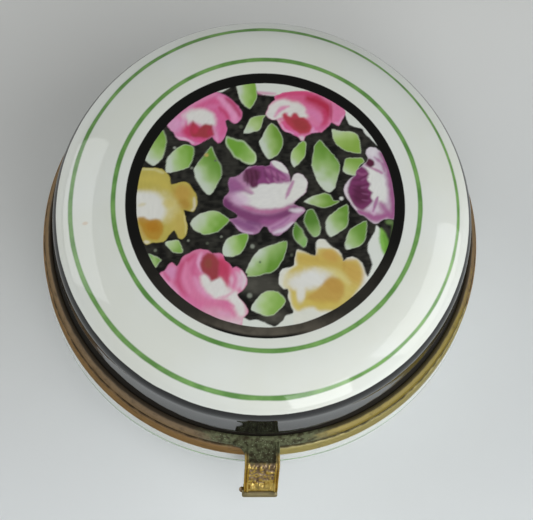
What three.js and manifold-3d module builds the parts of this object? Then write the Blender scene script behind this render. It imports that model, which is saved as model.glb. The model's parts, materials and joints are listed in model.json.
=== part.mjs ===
// A round porcelain pill box with a hinged lid: two glazed porcelain shells, each cemented into
// a brass bezel, joined at the back by a five-knuckle hinge and held at the front by a strap clasp.
// Millimetres, +Z up. The origin is on the table, under the middle of the box's outline.
import * as THREE from 'three';
import * as BufferGeometryUtils from 'three/addons/utils/BufferGeometryUtils.js';
import Module from 'manifold-3d';

const wasm = await Module();
wasm.setup();

// Driving dimensions. Radii are from the box's own axis; heights marked "above" are from the seam.
const SEAM_Z = 13.5; // height of the joint between the two bezels above the table
const SEAM_GAP = 0.16; // open height of that joint
const FIT_GAP = 0.03; // left between pieces that are cemented or soldered together
const ROUND_STEPS = 60; // facets round the porcelain and the bezels
const WELD = 1e-5; // vertices closer than this are one

const LID_WALL_R = 21.6;
const LID_TOP_ABOVE = 11.2;
const LID_CROWN = 0.0015; // the lid's top falls by this times the radius squared
const LID_SHOULDER_WIDE = 7.4;
const LID_SHOULDER_HIGH = 4.2;
const LID_RIM_ABOVE = 0.8;
const LID_THICK = 2.1;
const LID_INNER_SHOULDER_WIDE = 6.2;
const LID_INNER_SHOULDER_HIGH = 3.6;

const BOWL_WALL_R = 23.0;
const BOWL_REBATE_R = 22.5; // the unglazed rim that the base bezel is cemented over
const BOWL_INNER_R = 20.6;
const BOWL_RIM_BELOW = 0.8;
const BOWL_CURVE_START_BELOW = 5.0; // where the wall starts to curve in towards the foot
const BOWL_INNER_CURVE_START_BELOW = 6.0;
const BOWL_FLOOR_Z = 2.4;
const FOOT_OUTER_R = 15.2;
const FOOT_INNER_R = 13.4;
const FOOT_HIGH = 0.7;
const FOOT_RECESS_HIGH = 0.5;

const BEZEL_SHEET = 0.42; // thickness of the brass flanges
const LID_BEZEL_R = 22.85;
const LID_BEZEL_TOP_R = 21.95;
const LID_BEZEL_TOP_ABOVE = 1.95;
const LID_BEZEL_EDGE = 0.1; // the small bevel along its lower edge
const LID_BEZEL_EDGE_HIGH = 0.17;
const LID_FLANGE_INNER_R = 19.6;
const BASE_BEZEL_R = 23.25;
const BASE_BEZEL_BOTTOM_BELOW = 2.9;
const BASE_BEZEL_LEDGE = 0.22; // how far its rounded shoulder draws in at the seam
const BASE_BEZEL_SHOULDER = 0.85;
const BASE_BEZEL_EDGE = 0.1;
const BASE_BEZEL_EDGE_HIGH = 0.3;
const BEZEL_SIDE_GAP = 0.1; // between a bezel's skirt and the porcelain inside it
const BASE_FLANGE_INNER_R = 20.5;

const HINGE_R = 23.4; // the hinge pin's distance behind the box's axis
const KNUCKLE_R = 0.85;
const KNUCKLE_BORE_R = 0.42;
const KNUCKLE_COUNT = 5;
const BARREL_LONG = 7.0;
const KNUCKLE_GAP = 0.1;
const HINGE_NOTCH_R = 0.97; // the bezels are filed back this far round the pin
const PIN_R = 0.34;
const PIN_HEAD_R = 0.55;
const PIN_HEAD_LONG = 0.22;
const PIN_HEAD_TIP_R = 0.38;
const PIN_HEAD_CLEAR = 0.05; // between a head and the outer knuckle
const NOTCH_END_CLEAR = 0.25;

const STRAP_WIDE = 3.62;
const STRAP_THICK = 0.46;
const STRAP_RIB_WIDE = 0.46;
const STRAP_RIB_PROUD = 0.1;
const STRAP_SHELF_ABOVE = 0.92; // height of the strap's level part, on its upper face
const STRAP_BEND_R = 0.45;
const STRAP_INNER_BEND = 0.15;
const STRAP_BEND_REACH = 24.85; // where the strap turns down, in front of the axis
const STRAP_FOOT_REACH = 25.8; // its outer face where it meets the rolled end
const STRAP_FOOT_BELOW = 5.1;
const STRAP_ROLL_R = 0.6;
const STRAP_ROLL_REACH = 26.2;
const STRAP_ROLL_BELOW = 5.6;
const FLARE_WIDE = 1.15; // the root's fillet, on the left only
const FLARE_HIGH = 0.4;
const CLASP_WIRE_R = 0.22;
const CLASP_WIRE_GAP = 0.08; // between the wire and the rolled end
const CLASP_BALL_R = 0.27;

const STUD_BELOW = 1.7;
const STUD_NECK_R = 0.34;
const STUD_HEAD_R = 0.5;
const STUD_HEAD_REACH = 24.0;
const OVERLAP = 0.6; // how deep soldered pieces are drawn before they are cut to lie on a bezel

// The clasp reaches further from the axis than the hinge does, so the axis stands this far back.
const AXIS_Y = (STRAP_ROLL_REACH + STRAP_ROLL_R - HINGE_R - KNUCKLE_R) / 2;

const above = (height) => SEAM_Z + height;
const below = (depth) => SEAM_Z - depth;

const PORCELAIN = { color: 0xe4e8e0, roughness: 0.12, metalness: 0 };
const BRASS = { color: 0xa8823c, roughness: 0.35, metalness: 1 };
const DARK_BRASS = { color: 0x7a6038, roughness: 0.5, metalness: 1 };
const CEMENT = { color: 0xb9b09a, roughness: 0.9, metalness: 0 };

const group = new THREE.Group();
const box = new THREE.Group();
box.position.y = AXIS_Y;
group.add(box);

function place(name, geometry, finish) {
  const mesh = new THREE.Mesh(geometry, new THREE.MeshStandardMaterial(finish));
  mesh.name = name;
  box.add(mesh);
}

// A closed body turned about the box's axis from [radius, z] points.
function turned(points, steps = ROUND_STEPS) {
  const profile = points.map(([r, z]) => new THREE.Vector2(r, z));
  return new THREE.LatheGeometry(profile, steps).rotateX(Math.PI / 2);
}

const closed = (points) => [...points, points[0]];

// count + 1 points on a quarter of an ellipse, from angle a to angle b in degrees.
function arcPoints(centreR, centreZ, wide, high, a, b, count) {
  return Array.from({ length: count + 1 }, (_, i) => {
    const angle = THREE.MathUtils.degToRad(a + ((b - a) * i) / count);
    return [centreR + wide * Math.cos(angle), centreZ + high * Math.sin(angle)];
  });
}

// A prism along X of a [y, z] outline, between two x values.
function prism(outline, fromX, toX) {
  const shape = new THREE.Shape(outline.map(([y, z]) => new THREE.Vector2(y, z)));
  const geometry = new THREE.ExtrudeGeometry(shape, { depth: toX - fromX, bevelEnabled: false });
  // The outline's own axes (x, y, depth) become (y, z, x).
  const axes = new THREE.Matrix4().set(0, 0, 1, fromX, 1, 0, 0, 0, 0, 1, 0, 0, 0, 0, 0, 1);
  return geometry.applyMatrix4(axes);
}

function roundBar(radius, y, z, fromX, toX, segments) {
  const geometry = new THREE.CylinderGeometry(radius, radius, toX - fromX, segments);
  return geometry.rotateZ(Math.PI / 2).translate((fromX + toX) / 2, y, z);
}

function solid(geometry) {
  const bare = geometry.clone();
  bare.deleteAttribute('normal');
  bare.deleteAttribute('uv');
  const merged = BufferGeometryUtils.mergeVertices(bare, WELD);
  return new wasm.Manifold(
    new wasm.Mesh({
      numProp: 3,
      vertProperties: new Float32Array(merged.attributes.position.array),
      triVerts: new Uint32Array(merged.index.array),
    }),
  );
}

function fromSolid(body) {
  const mesh = body.getMesh();
  const geometry = new THREE.BufferGeometry();
  geometry.setAttribute('position', new THREE.BufferAttribute(mesh.vertProperties, 3));
  geometry.setIndex(new THREE.BufferAttribute(mesh.triVerts, 1));
  return geometry;
}

const joined = (...bodies) => bodies.reduce((sum, body) => sum.add(body));

// Porcelain lid: a domed cap with a hollow underside.
function lidDome() {
  const crown = (topAbove, r) => topAbove - LID_CROWN * r * r;
  const shell = (wallR, wide, high, topAbove) =>
    arcPoints(wallR - wide, 0, wide, high, 0, 90, 7).map(([r, rise]) => [
      r,
      above(crown(topAbove, r) - high + rise),
    ]);
  const innerR = LID_WALL_R - LID_THICK;
  const innerTop = LID_TOP_ABOVE - LID_THICK;
  const outer = shell(LID_WALL_R, LID_SHOULDER_WIDE, LID_SHOULDER_HIGH, LID_TOP_ABOVE);
  const inner = shell(innerR, LID_INNER_SHOULDER_WIDE, LID_INNER_SHOULDER_HIGH, innerTop);
  const midR = (LID_WALL_R - LID_SHOULDER_WIDE) / 2;
  return turned([
    [0, above(innerTop)],
    [midR, above(crown(innerTop, midR))],
    ...inner.reverse(),
    [innerR, above(LID_RIM_ABOVE)],
    [LID_WALL_R, above(LID_RIM_ABOVE)],
    ...outer,
    [midR, above(crown(LID_TOP_ABOVE, midR))],
    [0, above(LID_TOP_ABOVE)],
  ]);
}

// Porcelain base: a bowl on a foot ring, with a rebated rim for the bezel.
function baseBowl() {
  const curveStart = below(BOWL_CURVE_START_BELOW);
  const innerStart = below(BOWL_INNER_CURVE_START_BELOW);
  const outerCurve = arcPoints(
    FOOT_OUTER_R, curveStart, BOWL_WALL_R - FOOT_OUTER_R, curveStart - FOOT_HIGH, -90, 0, 7);
  const innerWide = BOWL_INNER_R - FOOT_INNER_R;
  const innerCurve = arcPoints(
    FOOT_INNER_R, innerStart, innerWide, innerStart - BOWL_FLOOR_Z, 0, -90, 6);
  const shoulder = below(BASE_BEZEL_BOTTOM_BELOW + FIT_GAP);
  return turned([
    [0, FOOT_RECESS_HIGH],
    [FOOT_INNER_R, FOOT_RECESS_HIGH],
    [FOOT_INNER_R, 0],
    [FOOT_OUTER_R, 0],
    ...outerCurve,
    [BOWL_WALL_R, shoulder],
    [BOWL_REBATE_R, shoulder],
    [BOWL_REBATE_R, below(BOWL_RIM_BELOW)],
    [BOWL_INNER_R, below(BOWL_RIM_BELOW)],
    ...innerCurve,
    [0, BOWL_FLOOR_Z],
  ]);
}

// The outside faces of the two bezels, as [radius, z] points, from the bottom up.
function lidBezelFace(grow = 0) {
  const edgeTop = SEAM_GAP / 2 + LID_BEZEL_EDGE_HIGH;
  const bulge = arcPoints(
    LID_BEZEL_TOP_R, above(edgeTop), LID_BEZEL_R - LID_BEZEL_TOP_R, LID_BEZEL_TOP_ABOVE - edgeTop, 0, 90, 4);
  return [[LID_BEZEL_R - LID_BEZEL_EDGE, above(SEAM_GAP / 2)], ...bulge].map(([r, z]) => [r + grow, z]);
}

function baseBezelFace(grow = 0) {
  const bottom = below(BASE_BEZEL_BOTTOM_BELOW);
  const shoulder = arcPoints(
    BASE_BEZEL_R - BASE_BEZEL_LEDGE, below(SEAM_GAP / 2 + BASE_BEZEL_SHOULDER),
    BASE_BEZEL_LEDGE, BASE_BEZEL_SHOULDER, 0, 90, 4);
  return [
    [BASE_BEZEL_R - BASE_BEZEL_EDGE, bottom],
    [BASE_BEZEL_R, bottom + BASE_BEZEL_EDGE_HIGH],
    ...shoulder,
  ].map(([r, z]) => [r + grow, z]);
}

function lidBezelRing() {
  const innerR = LID_WALL_R + BEZEL_SIDE_GAP;
  const flangeTop = above(SEAM_GAP / 2 + BEZEL_SHEET);
  return turned(closed([
    [LID_FLANGE_INNER_R, above(SEAM_GAP / 2)],
    ...lidBezelFace(),
    [innerR, above(LID_BEZEL_TOP_ABOVE)],
    [innerR, flangeTop],
    [LID_FLANGE_INNER_R, flangeTop],
  ]));
}

function baseBezelRing() {
  const innerR = BOWL_REBATE_R + BEZEL_SIDE_GAP;
  const flangeBottom = below(SEAM_GAP / 2 + BEZEL_SHEET);
  return turned(closed([
    [innerR, below(BASE_BEZEL_BOTTOM_BELOW)],
    ...baseBezelFace(),
    [BASE_FLANGE_INNER_R, below(SEAM_GAP / 2)],
    [BASE_FLANGE_INNER_R, flangeBottom],
    [innerR, flangeBottom],
  ]));
}

// Everything inside a bezel's outside face, so that a soldered piece can be cut to lie on it.
function bezelBody(face) {
  const [lowR, lowZ] = face[0];
  const [highR, highZ] = face.at(-1);
  const margin = 1;
  const start = [[0, lowZ - margin], [lowR, lowZ - margin]];
  const end = [[highR, highZ + margin], [0, highZ + margin]];
  return solid(turned([...start, ...face, ...end]));
}

const lidBezelBody = bezelBody(lidBezelFace(FIT_GAP));
const baseBezelBody = bezelBody(baseBezelFace(FIT_GAP));

function hingeNotch() {
  const half = BARREL_LONG / 2 + PIN_HEAD_LONG + NOTCH_END_CLEAR;
  return solid(roundBar(HINGE_NOTCH_R, HINGE_R, SEAM_Z, -half, half, 24));
}

// The bed of cement between a porcelain rim and its bezel's flange.
function cementRing(innerR, outerR, lowZ, highZ) {
  return turned(closed([[innerR, lowZ], [outerR, lowZ], [outerR, highZ], [innerR, highZ]]));
}

// A hinge knuckle: a short tube on the pin's line with a foot that lies on its bezel.
function knuckle(index, footOutline, bezel) {
  const pitch = BARREL_LONG / KNUCKLE_COUNT;
  const fromX = -BARREL_LONG / 2 + index * pitch + KNUCKLE_GAP / 2;
  const toX = fromX + pitch - KNUCKLE_GAP;
  const tube = solid(roundBar(KNUCKLE_R, HINGE_R, SEAM_Z, fromX, toX, 24));
  const outline = footOutline.map(([y, z]) => [HINGE_R + y, SEAM_Z + z]);
  const foot = solid(prism(outline, fromX, toX)).subtract(bezel);
  const bore = solid(roundBar(KNUCKLE_BORE_R, HINGE_R, SEAM_Z, fromX - 1, toX + 1, 16));
  return fromSolid(joined(tube, foot).subtract(bore));
}

// The pin, with a head spread at each end.
function hingePin() {
  const headStart = BARREL_LONG / 2 + PIN_HEAD_CLEAR;
  const headSide = BARREL_LONG / 2 + PIN_HEAD_LONG / 2;
  const end = BARREL_LONG / 2 + PIN_HEAD_LONG;
  const rightHalf = [
    [PIN_R, headStart], [PIN_HEAD_R, headStart], [PIN_HEAD_R, headSide], [PIN_HEAD_TIP_R, end], [0, end],
  ];
  const leftHalf = rightHalf.map(([r, x]) => [r, -x]).reverse();
  const profile = [...leftHalf, ...rightHalf].map(([r, x]) => new THREE.Vector2(r, x));
  const pin = new THREE.LatheGeometry(profile, 16);
  return pin.rotateZ(-Math.PI / 2).translate(0, HINGE_R, SEAM_Z);
}

// The strap's side outline in [y, z]; its outer face stands proud by the given height.
function strapOutline(proud) {
  const shelf = above(STRAP_SHELF_ABOVE + proud);
  const reach = STRAP_BEND_REACH + proud;
  const foot = STRAP_FOOT_REACH + proud;
  const bend = arcPoints(
    reach - STRAP_BEND_R, shelf - STRAP_BEND_R, STRAP_BEND_R, STRAP_BEND_R, 90, 5, 5);
  const under = above(STRAP_SHELF_ABOVE - STRAP_THICK);
  const inside = STRAP_BEND_REACH - STRAP_THICK;
  const footBottom = below(STRAP_FOOT_BELOW);
  const path = [
    [LID_BEZEL_TOP_R, shelf],
    ...bend,
    [foot, footBottom],
    [STRAP_FOOT_REACH - STRAP_THICK, footBottom],
    [inside, under - STRAP_INNER_BEND],
    [inside - STRAP_INNER_BEND, under],
    [LID_BEZEL_TOP_R, under],
  ];
  return path.map(([reachFromAxis, z]) => [-reachFromAxis, z]);
}

function claspStrap() {
  const half = STRAP_WIDE / 2;
  const rib = (side) => {
    const edges = [side * half, side * (half - STRAP_RIB_WIDE)].sort((a, b) => a - b);
    return solid(prism(strapOutline(STRAP_RIB_PROUD), ...edges));
  };
  const web = solid(prism(strapOutline(0), -half, half));
  const rolled = (radius, beyond, segments) => solid(roundBar(
    radius, -STRAP_ROLL_REACH, below(STRAP_ROLL_BELOW), -half - beyond, half + beyond, segments));
  const strap = joined(web, rib(-1), rib(1), strapFlare()).subtract(lidBezelBody);
  return fromSolid(strap.add(rolled(STRAP_ROLL_R, 0, 20)).subtract(
    rolled(CLASP_WIRE_R + CLASP_WIRE_GAP, 1, 12)));
}

// The fillet at the left of the strap's root, where it spreads onto the bezel.
function strapFlare() {
  const rightX = -STRAP_WIDE / 2 + STRAP_RIB_WIDE;
  const leftX = -STRAP_WIDE / 2 - FLARE_WIDE;
  const reach = LID_BEZEL_R + FLARE_WIDE;
  const outline = new THREE.Shape();
  outline.moveTo(rightX, -LID_BEZEL_TOP_R);
  outline.lineTo(leftX, -LID_BEZEL_TOP_R);
  outline.lineTo(leftX, -LID_BEZEL_R);
  outline.absarc(leftX, -reach, FLARE_WIDE, Math.PI / 2, 0, true);
  outline.lineTo(rightX, -reach);
  const plate = new THREE.ExtrudeGeometry(outline, {
    depth: FLARE_HIGH,
    bevelEnabled: false,
    curveSegments: 6,
  });
  return solid(plate.translate(0, 0, above(STRAP_SHELF_ABOVE - FLARE_HIGH)));
}

// The wire inside the rolled end; it shows as a small ball at the left.
function claspWire() {
  const half = STRAP_WIDE / 2;
  const y = -STRAP_ROLL_REACH;
  const z = below(STRAP_ROLL_BELOW);
  const ballX = -half - CLASP_BALL_R - FIT_GAP;
  const wire = solid(roundBar(CLASP_WIRE_R, y, z, ballX, half - CLASP_WIRE_GAP, 12));
  const ball = new THREE.SphereGeometry(CLASP_BALL_R, 12, 8).translate(ballX, y, z);
  return fromSolid(wire.add(solid(ball)));
}

// The stud on the base bezel that the strap springs over.
function catchStud() {
  const neckAngle = THREE.MathUtils.radToDeg(Math.acos(STUD_NECK_R / STUD_HEAD_R));
  const head = arcPoints(0, STUD_HEAD_REACH, STUD_HEAD_R, STUD_HEAD_R, -neckAngle, 75, 5);
  const root = BASE_BEZEL_R - OVERLAP;
  const tip = STUD_HEAD_REACH + STUD_HEAD_R;
  const profile = [[0, root], [STUD_NECK_R, root], ...head, [0, tip]];
  const stud = new THREE.LatheGeometry(profile.map(([r, reach]) => new THREE.Vector2(r, reach)), 16);
  // The profile's length runs along +Y; the stud points forward, along -Y.
  stud.rotateX(Math.PI).translate(0, 0, below(STUD_BELOW));
  return fromSolid(solid(stud).subtract(baseBezelBody));
}

const notch = hingeNotch();
const rimGap = SEAM_GAP / 2 + BEZEL_SHEET + FIT_GAP;

// The knuckles' feet as [y, z] outlines from the pin's centre, before they are cut to the bezels.
const BASE_FOOT = [[-1.2, 0], [0.78, -0.25], [0.1, -1.9], [-1.2, -1.9]];
const LID_FOOT = [[-1.6, 0.2], [0.72, 0.4], [-0.9, 1.95], [-1.9, 1.6]];

place('base_bowl', baseBowl(), PORCELAIN);
place('base_cement', cementRing(
  BOWL_INNER_R + 0.1, BOWL_REBATE_R, below(BOWL_RIM_BELOW - FIT_GAP), below(rimGap)), CEMENT);
place('base_bezel', fromSolid(solid(baseBezelRing()).subtract(notch)), BRASS);
place('catch_stud', catchStud(), DARK_BRASS);
place('hinge_pin', hingePin(), DARK_BRASS);
place('base_knuckle_left', knuckle(0, BASE_FOOT, baseBezelBody), BRASS);
place('base_knuckle_middle', knuckle(2, BASE_FOOT, baseBezelBody), BRASS);
place('base_knuckle_right', knuckle(4, BASE_FOOT, baseBezelBody), BRASS);
place('lid_dome', lidDome(), PORCELAIN);
place('lid_cement', cementRing(
  LID_WALL_R - LID_THICK + 0.2, LID_WALL_R, above(rimGap), above(LID_RIM_ABOVE - FIT_GAP)), CEMENT);
place('lid_bezel', fromSolid(solid(lidBezelRing()).subtract(notch)), BRASS);
place('lid_knuckle_left', knuckle(1, LID_FOOT, lidBezelBody), BRASS);
place('lid_knuckle_right', knuckle(3, LID_FOOT, lidBezelBody), BRASS);
place('clasp_strap', claspStrap(), BRASS);
place('clasp_wire', claspWire(), DARK_BRASS);

export default group;
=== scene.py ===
"""A round porcelain pill box: painted lid, footed bowl, two brass bezels, a hinge and a strap clasp.

Places inside this script are in millimetres from the box's own axis and the seam between the bezels:
x to the right, y towards the hinge, z up. to_world() turns them into metres in the frame.
"""

import json
import math

import bmesh
import bpy
import numpy as np
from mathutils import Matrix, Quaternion, Vector


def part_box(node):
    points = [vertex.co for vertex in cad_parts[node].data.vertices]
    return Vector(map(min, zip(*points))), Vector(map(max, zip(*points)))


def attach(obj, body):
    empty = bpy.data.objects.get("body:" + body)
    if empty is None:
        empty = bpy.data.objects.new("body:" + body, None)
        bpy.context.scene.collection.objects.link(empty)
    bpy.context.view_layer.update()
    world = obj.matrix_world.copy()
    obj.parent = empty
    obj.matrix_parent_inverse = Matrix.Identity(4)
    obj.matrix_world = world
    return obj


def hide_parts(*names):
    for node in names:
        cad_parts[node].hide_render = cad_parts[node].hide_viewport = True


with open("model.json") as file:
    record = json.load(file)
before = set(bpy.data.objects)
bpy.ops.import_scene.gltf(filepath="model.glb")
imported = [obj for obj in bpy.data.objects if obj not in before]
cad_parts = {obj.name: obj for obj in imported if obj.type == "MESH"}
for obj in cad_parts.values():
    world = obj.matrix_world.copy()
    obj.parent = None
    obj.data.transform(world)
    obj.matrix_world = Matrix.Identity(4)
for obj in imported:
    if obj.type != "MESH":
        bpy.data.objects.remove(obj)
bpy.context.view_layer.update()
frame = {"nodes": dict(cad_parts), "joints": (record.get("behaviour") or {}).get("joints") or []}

MM = 0.001

# Places worked out from the frame.
PIN = frame["joints"][0]["pos_m"]
SEAM_Z = PIN[2] / MM
DOME_LOW, DOME_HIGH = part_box("lid_dome")
AXIS_Y = (DOME_LOW.y + DOME_HIGH.y) / 2 / MM
HINGE_R = PIN[1] / MM - AXIS_Y
TABLE = -SEAM_Z

# The lid: a nearly flat crown, an elliptical shoulder and an upright wall.
LID_WALL_R = (DOME_HIGH.x - DOME_LOW.x) / 2 / MM
LID_TOP = DOME_HIGH.z / MM - SEAM_Z
LID_RIM = DOME_LOW.z / MM - SEAM_Z
LID_CROWN = 0.0015
LID_SHOULDER_WIDE = 7.4
LID_SHOULDER_HIGH = 4.2
LID_THICK = 2.1
LID_INNER_SHOULDER_WIDE = 6.2
LID_INNER_SHOULDER_HIGH = 3.6
LID_FLARE = 0.36  # how far the wall leans out at the bezel
LID_FLARE_TOP = 6.2

# The bands painted round it.
MEDALLION_R = 13.55
MEDALLION_CELLS = 290
RING_INNER_R = 12.98
RING_OUTER_R = 14.12
INNER_LINE_R = 15.53
INNER_LINE_X = 0.31
INNER_LINE_Y = 0.14
OUTER_LINE_R = 19.75
LINE_WIDE = 0.44
BAND_TOP_R = 21.17
BASE_LINE_Z = -5.3
BANDS_X = 0.14  # the banding wheel ran this far off the axis
BANDS_Y = -0.04

# The bowl: a bulging wall on a foot ring.
BOWL_WALL_R = 23.0
BOWL_BULGE = 0.25
BOWL_REBATE_R = 22.5
BOWL_INNER_R = 20.6
BOWL_RIM = -0.8
BOWL_CURVE_Z = -5.4
BOWL_INNER_CURVE_Z = -6.0
BOWL_FLOOR = 2.4
FOOT_OUTER_R = 15.2
FOOT_INNER_R = 13.4
FOOT_HIGH = 0.7
FOOT_RECESS = 0.5

# The bezels: a ring with a flange each, cut back round the hinge.
SHEET = 0.42
HALF_SEAM = 0.08
LID_BEZEL_R = 22.85
LID_BEZEL_TOP_R = 22.27
LID_BEZEL_TOP = 1.6
LID_BEZEL_INNER_R = 22.0
LID_FLANGE_R = 19.6
BASE_BEZEL_R = 23.12
BASE_BEZEL_BOTTOM = -3.05
BASE_SHOULDER = 0.85
BASE_LEDGE = 0.22
BASE_BEZEL_INNER_R = 22.6
BASE_FLANGE_R = 20.5
BEZEL_ROUNDING = 0.07
NOTCH_R = 0.97
NOTCH_HALF = 3.97

# The hinge: tubes in turn on the base and the lid, on one pin.
BARREL_HALF = 3.5
KNUCKLE_COUNT = 5
KNUCKLE_GAP = 0.1
KNUCKLE_R = 0.85
KNUCKLE_BORE_R = 0.42
PIN_R = 0.34
PIN_HEAD_R = 0.55
PIN_HEAD_LONG = 0.22
PIN_HEAD_GAP = 0.05
HINGE_STEPS = 96

# The clasp: a shelf, a bend, a strap and a curl round a wire. A reach is a distance to the front.
STRAP_HALF = 1.81
STRAP_THICK = 0.46
STRAP_SHELF = 0.92
STRAP_ROOT_REACH = 22.2
STRAP_BEND_REACH = 25.15
STRAP_BEND_R = 0.45
CRUST_END = -24.78
STRAP_FOOT_REACH = 25.98
STRAP_FOOT_Z = -5.1
ROLL_REACH = 26.38
ROLL_Z = -5.8
ROLL_R = 0.6
FLARE_WIDE = 1.15
STRAP_ACROSS = 60
STRAP_EDGE = 0.14  # how far in from its sides the strap is rounded
CURL_EDGE = 0.16  # how much further in at the curl
CURL_THINNER = 0.35  # the share of its thickness that it loses there
CURL_LEFT = 0.16  # how much it widens there on the left
CURL_RIGHT = 0.06  # and narrows on the right
RELIEF_FULL = 0.12  # how far the face stands up where it is rubbed brightest
WIRE_R = 0.22
BALL_R = 0.3
BALL_LEAN = 0.22  # how far the wire's end is bent back

ROUND_STEPS = MEDALLION_CELLS


def display(red, green, blue):
    """A colour given as screen values from 0 to 255, as linear light."""
    channels = np.array([red, green, blue]) / 255
    return np.where(channels <= 0.04045, channels / 12.92, ((channels + 0.055) / 1.055) ** 2.4)


def display_row(colors):
    """The same for rows of colours."""
    return display(*colors.T).T


def rgba(red, green, blue):
    """The same with full cover, as a node takes it."""
    return (*display(red, green, blue), 1.0)


def smooth(value, low, high):
    """0 below low, 1 above high and a smooth step between them; low may be the greater."""
    t = np.clip((value - low) / (high - low), 0, 1)
    return t * t * (3 - 2 * t)


def lid_height(r, top=LID_TOP, wall=LID_WALL_R, wide=LID_SHOULDER_WIDE, high=LID_SHOULDER_HIGH):
    """The height of the lid's surface at radius r."""
    across = np.clip((r - (wall - wide)) / wide, 0, 1)
    return top - LID_CROWN * r * r - high * (1 - np.sqrt(1 - across * across))


# ---------------------------------------------------------------- the painter's tools

STUDIO_LIGHT = 0.86  # how bright a white sheet on the lid looks; paints are mixed to look right in it
GRAIN_TILE = 64
LEAF_RIM = (196, 202, 186)
LEAF_LIGHT = np.array([84, 88, 74])
GROUND_BLACK = (21, 20, 18)
# Grey of the ring's worn front, with a painted reflection of light in it.
RING_WORN_SHEEN = (93, 87, 78)


def grain(x, y, size, seed):
    """Smooth noise from 0 to 1 whose blotches are about size millimetres across."""
    table = np.random.RandomState(seed).rand(GRAIN_TILE, GRAIN_TILE)
    column, row = x / size, y / size
    i, j = np.floor(column).astype(int), np.floor(row).astype(int)
    u, v = smooth(column - i, 0, 1), smooth(row - j, 0, 1)
    i0, i1, j0, j1 = i % GRAIN_TILE, (i + 1) % GRAIN_TILE, j % GRAIN_TILE, (j + 1) % GRAIN_TILE
    near = table[i0, j0] * (1 - u) + table[i1, j0] * u
    far = table[i0, j1] * (1 - u) + table[i1, j1] * u
    return near * (1 - v) + far * v


def curve_through(points, closed, cuts=4, pull=0.32):
    """A softly rounded line through the points."""
    p = np.array(points, float)
    before, after = np.roll(p, 1, 0), np.roll(p, -1, 0)
    if not closed:
        before[0], after[-1] = p[0], p[-1]
    slope = (after - before) * pull
    ends, end_slope = np.roll(p, -1, 0), np.roll(slope, -1, 0)
    t = (np.arange(cuts) / cuts)[None, :, None]
    line = ((2 * t**3 - 3 * t**2 + 1) * p[:, None] + (t**3 - 2 * t**2 + t) * slope[:, None]
            + (3 * t**2 - 2 * t**3) * ends[:, None] + (t**3 - t**2) * end_slope[:, None])
    if closed:
        return line.reshape(-1, 2)
    return np.concatenate([line[:-1].reshape(-1, 2), p[-1:]])


def from_line(x, y, line, closed=False):
    """Each point's distance from the line, how far along it (0 to 1), and whether it is enclosed."""
    ends = np.roll(line, -1, 0) if closed else line[1:]
    starts = line if closed else line[:-1]
    nearest = np.full(len(x), 1e9)
    along = np.zeros(len(x))
    enclosed = np.zeros(len(x), bool)
    for index, ((ax, ay), (bx, by)) in enumerate(zip(starts, ends)):
        dx, dy = bx - ax, by - ay
        t = np.clip(((x - ax) * dx + (y - ay) * dy) / (dx * dx + dy * dy + 1e-12), 0, 1)
        away = np.hypot(x - ax - t * dx, y - ay - t * dy)
        closer = away < nearest
        nearest[closer] = away[closer]
        along[closer] = (index + t[closer]) / len(starts)
        crosses = ((ay > y) != (by > y)) & (x < dx * (y - ay) / (dy + 1e-12) + ax)
        enclosed ^= crosses
    return nearest, along, enclosed


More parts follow.
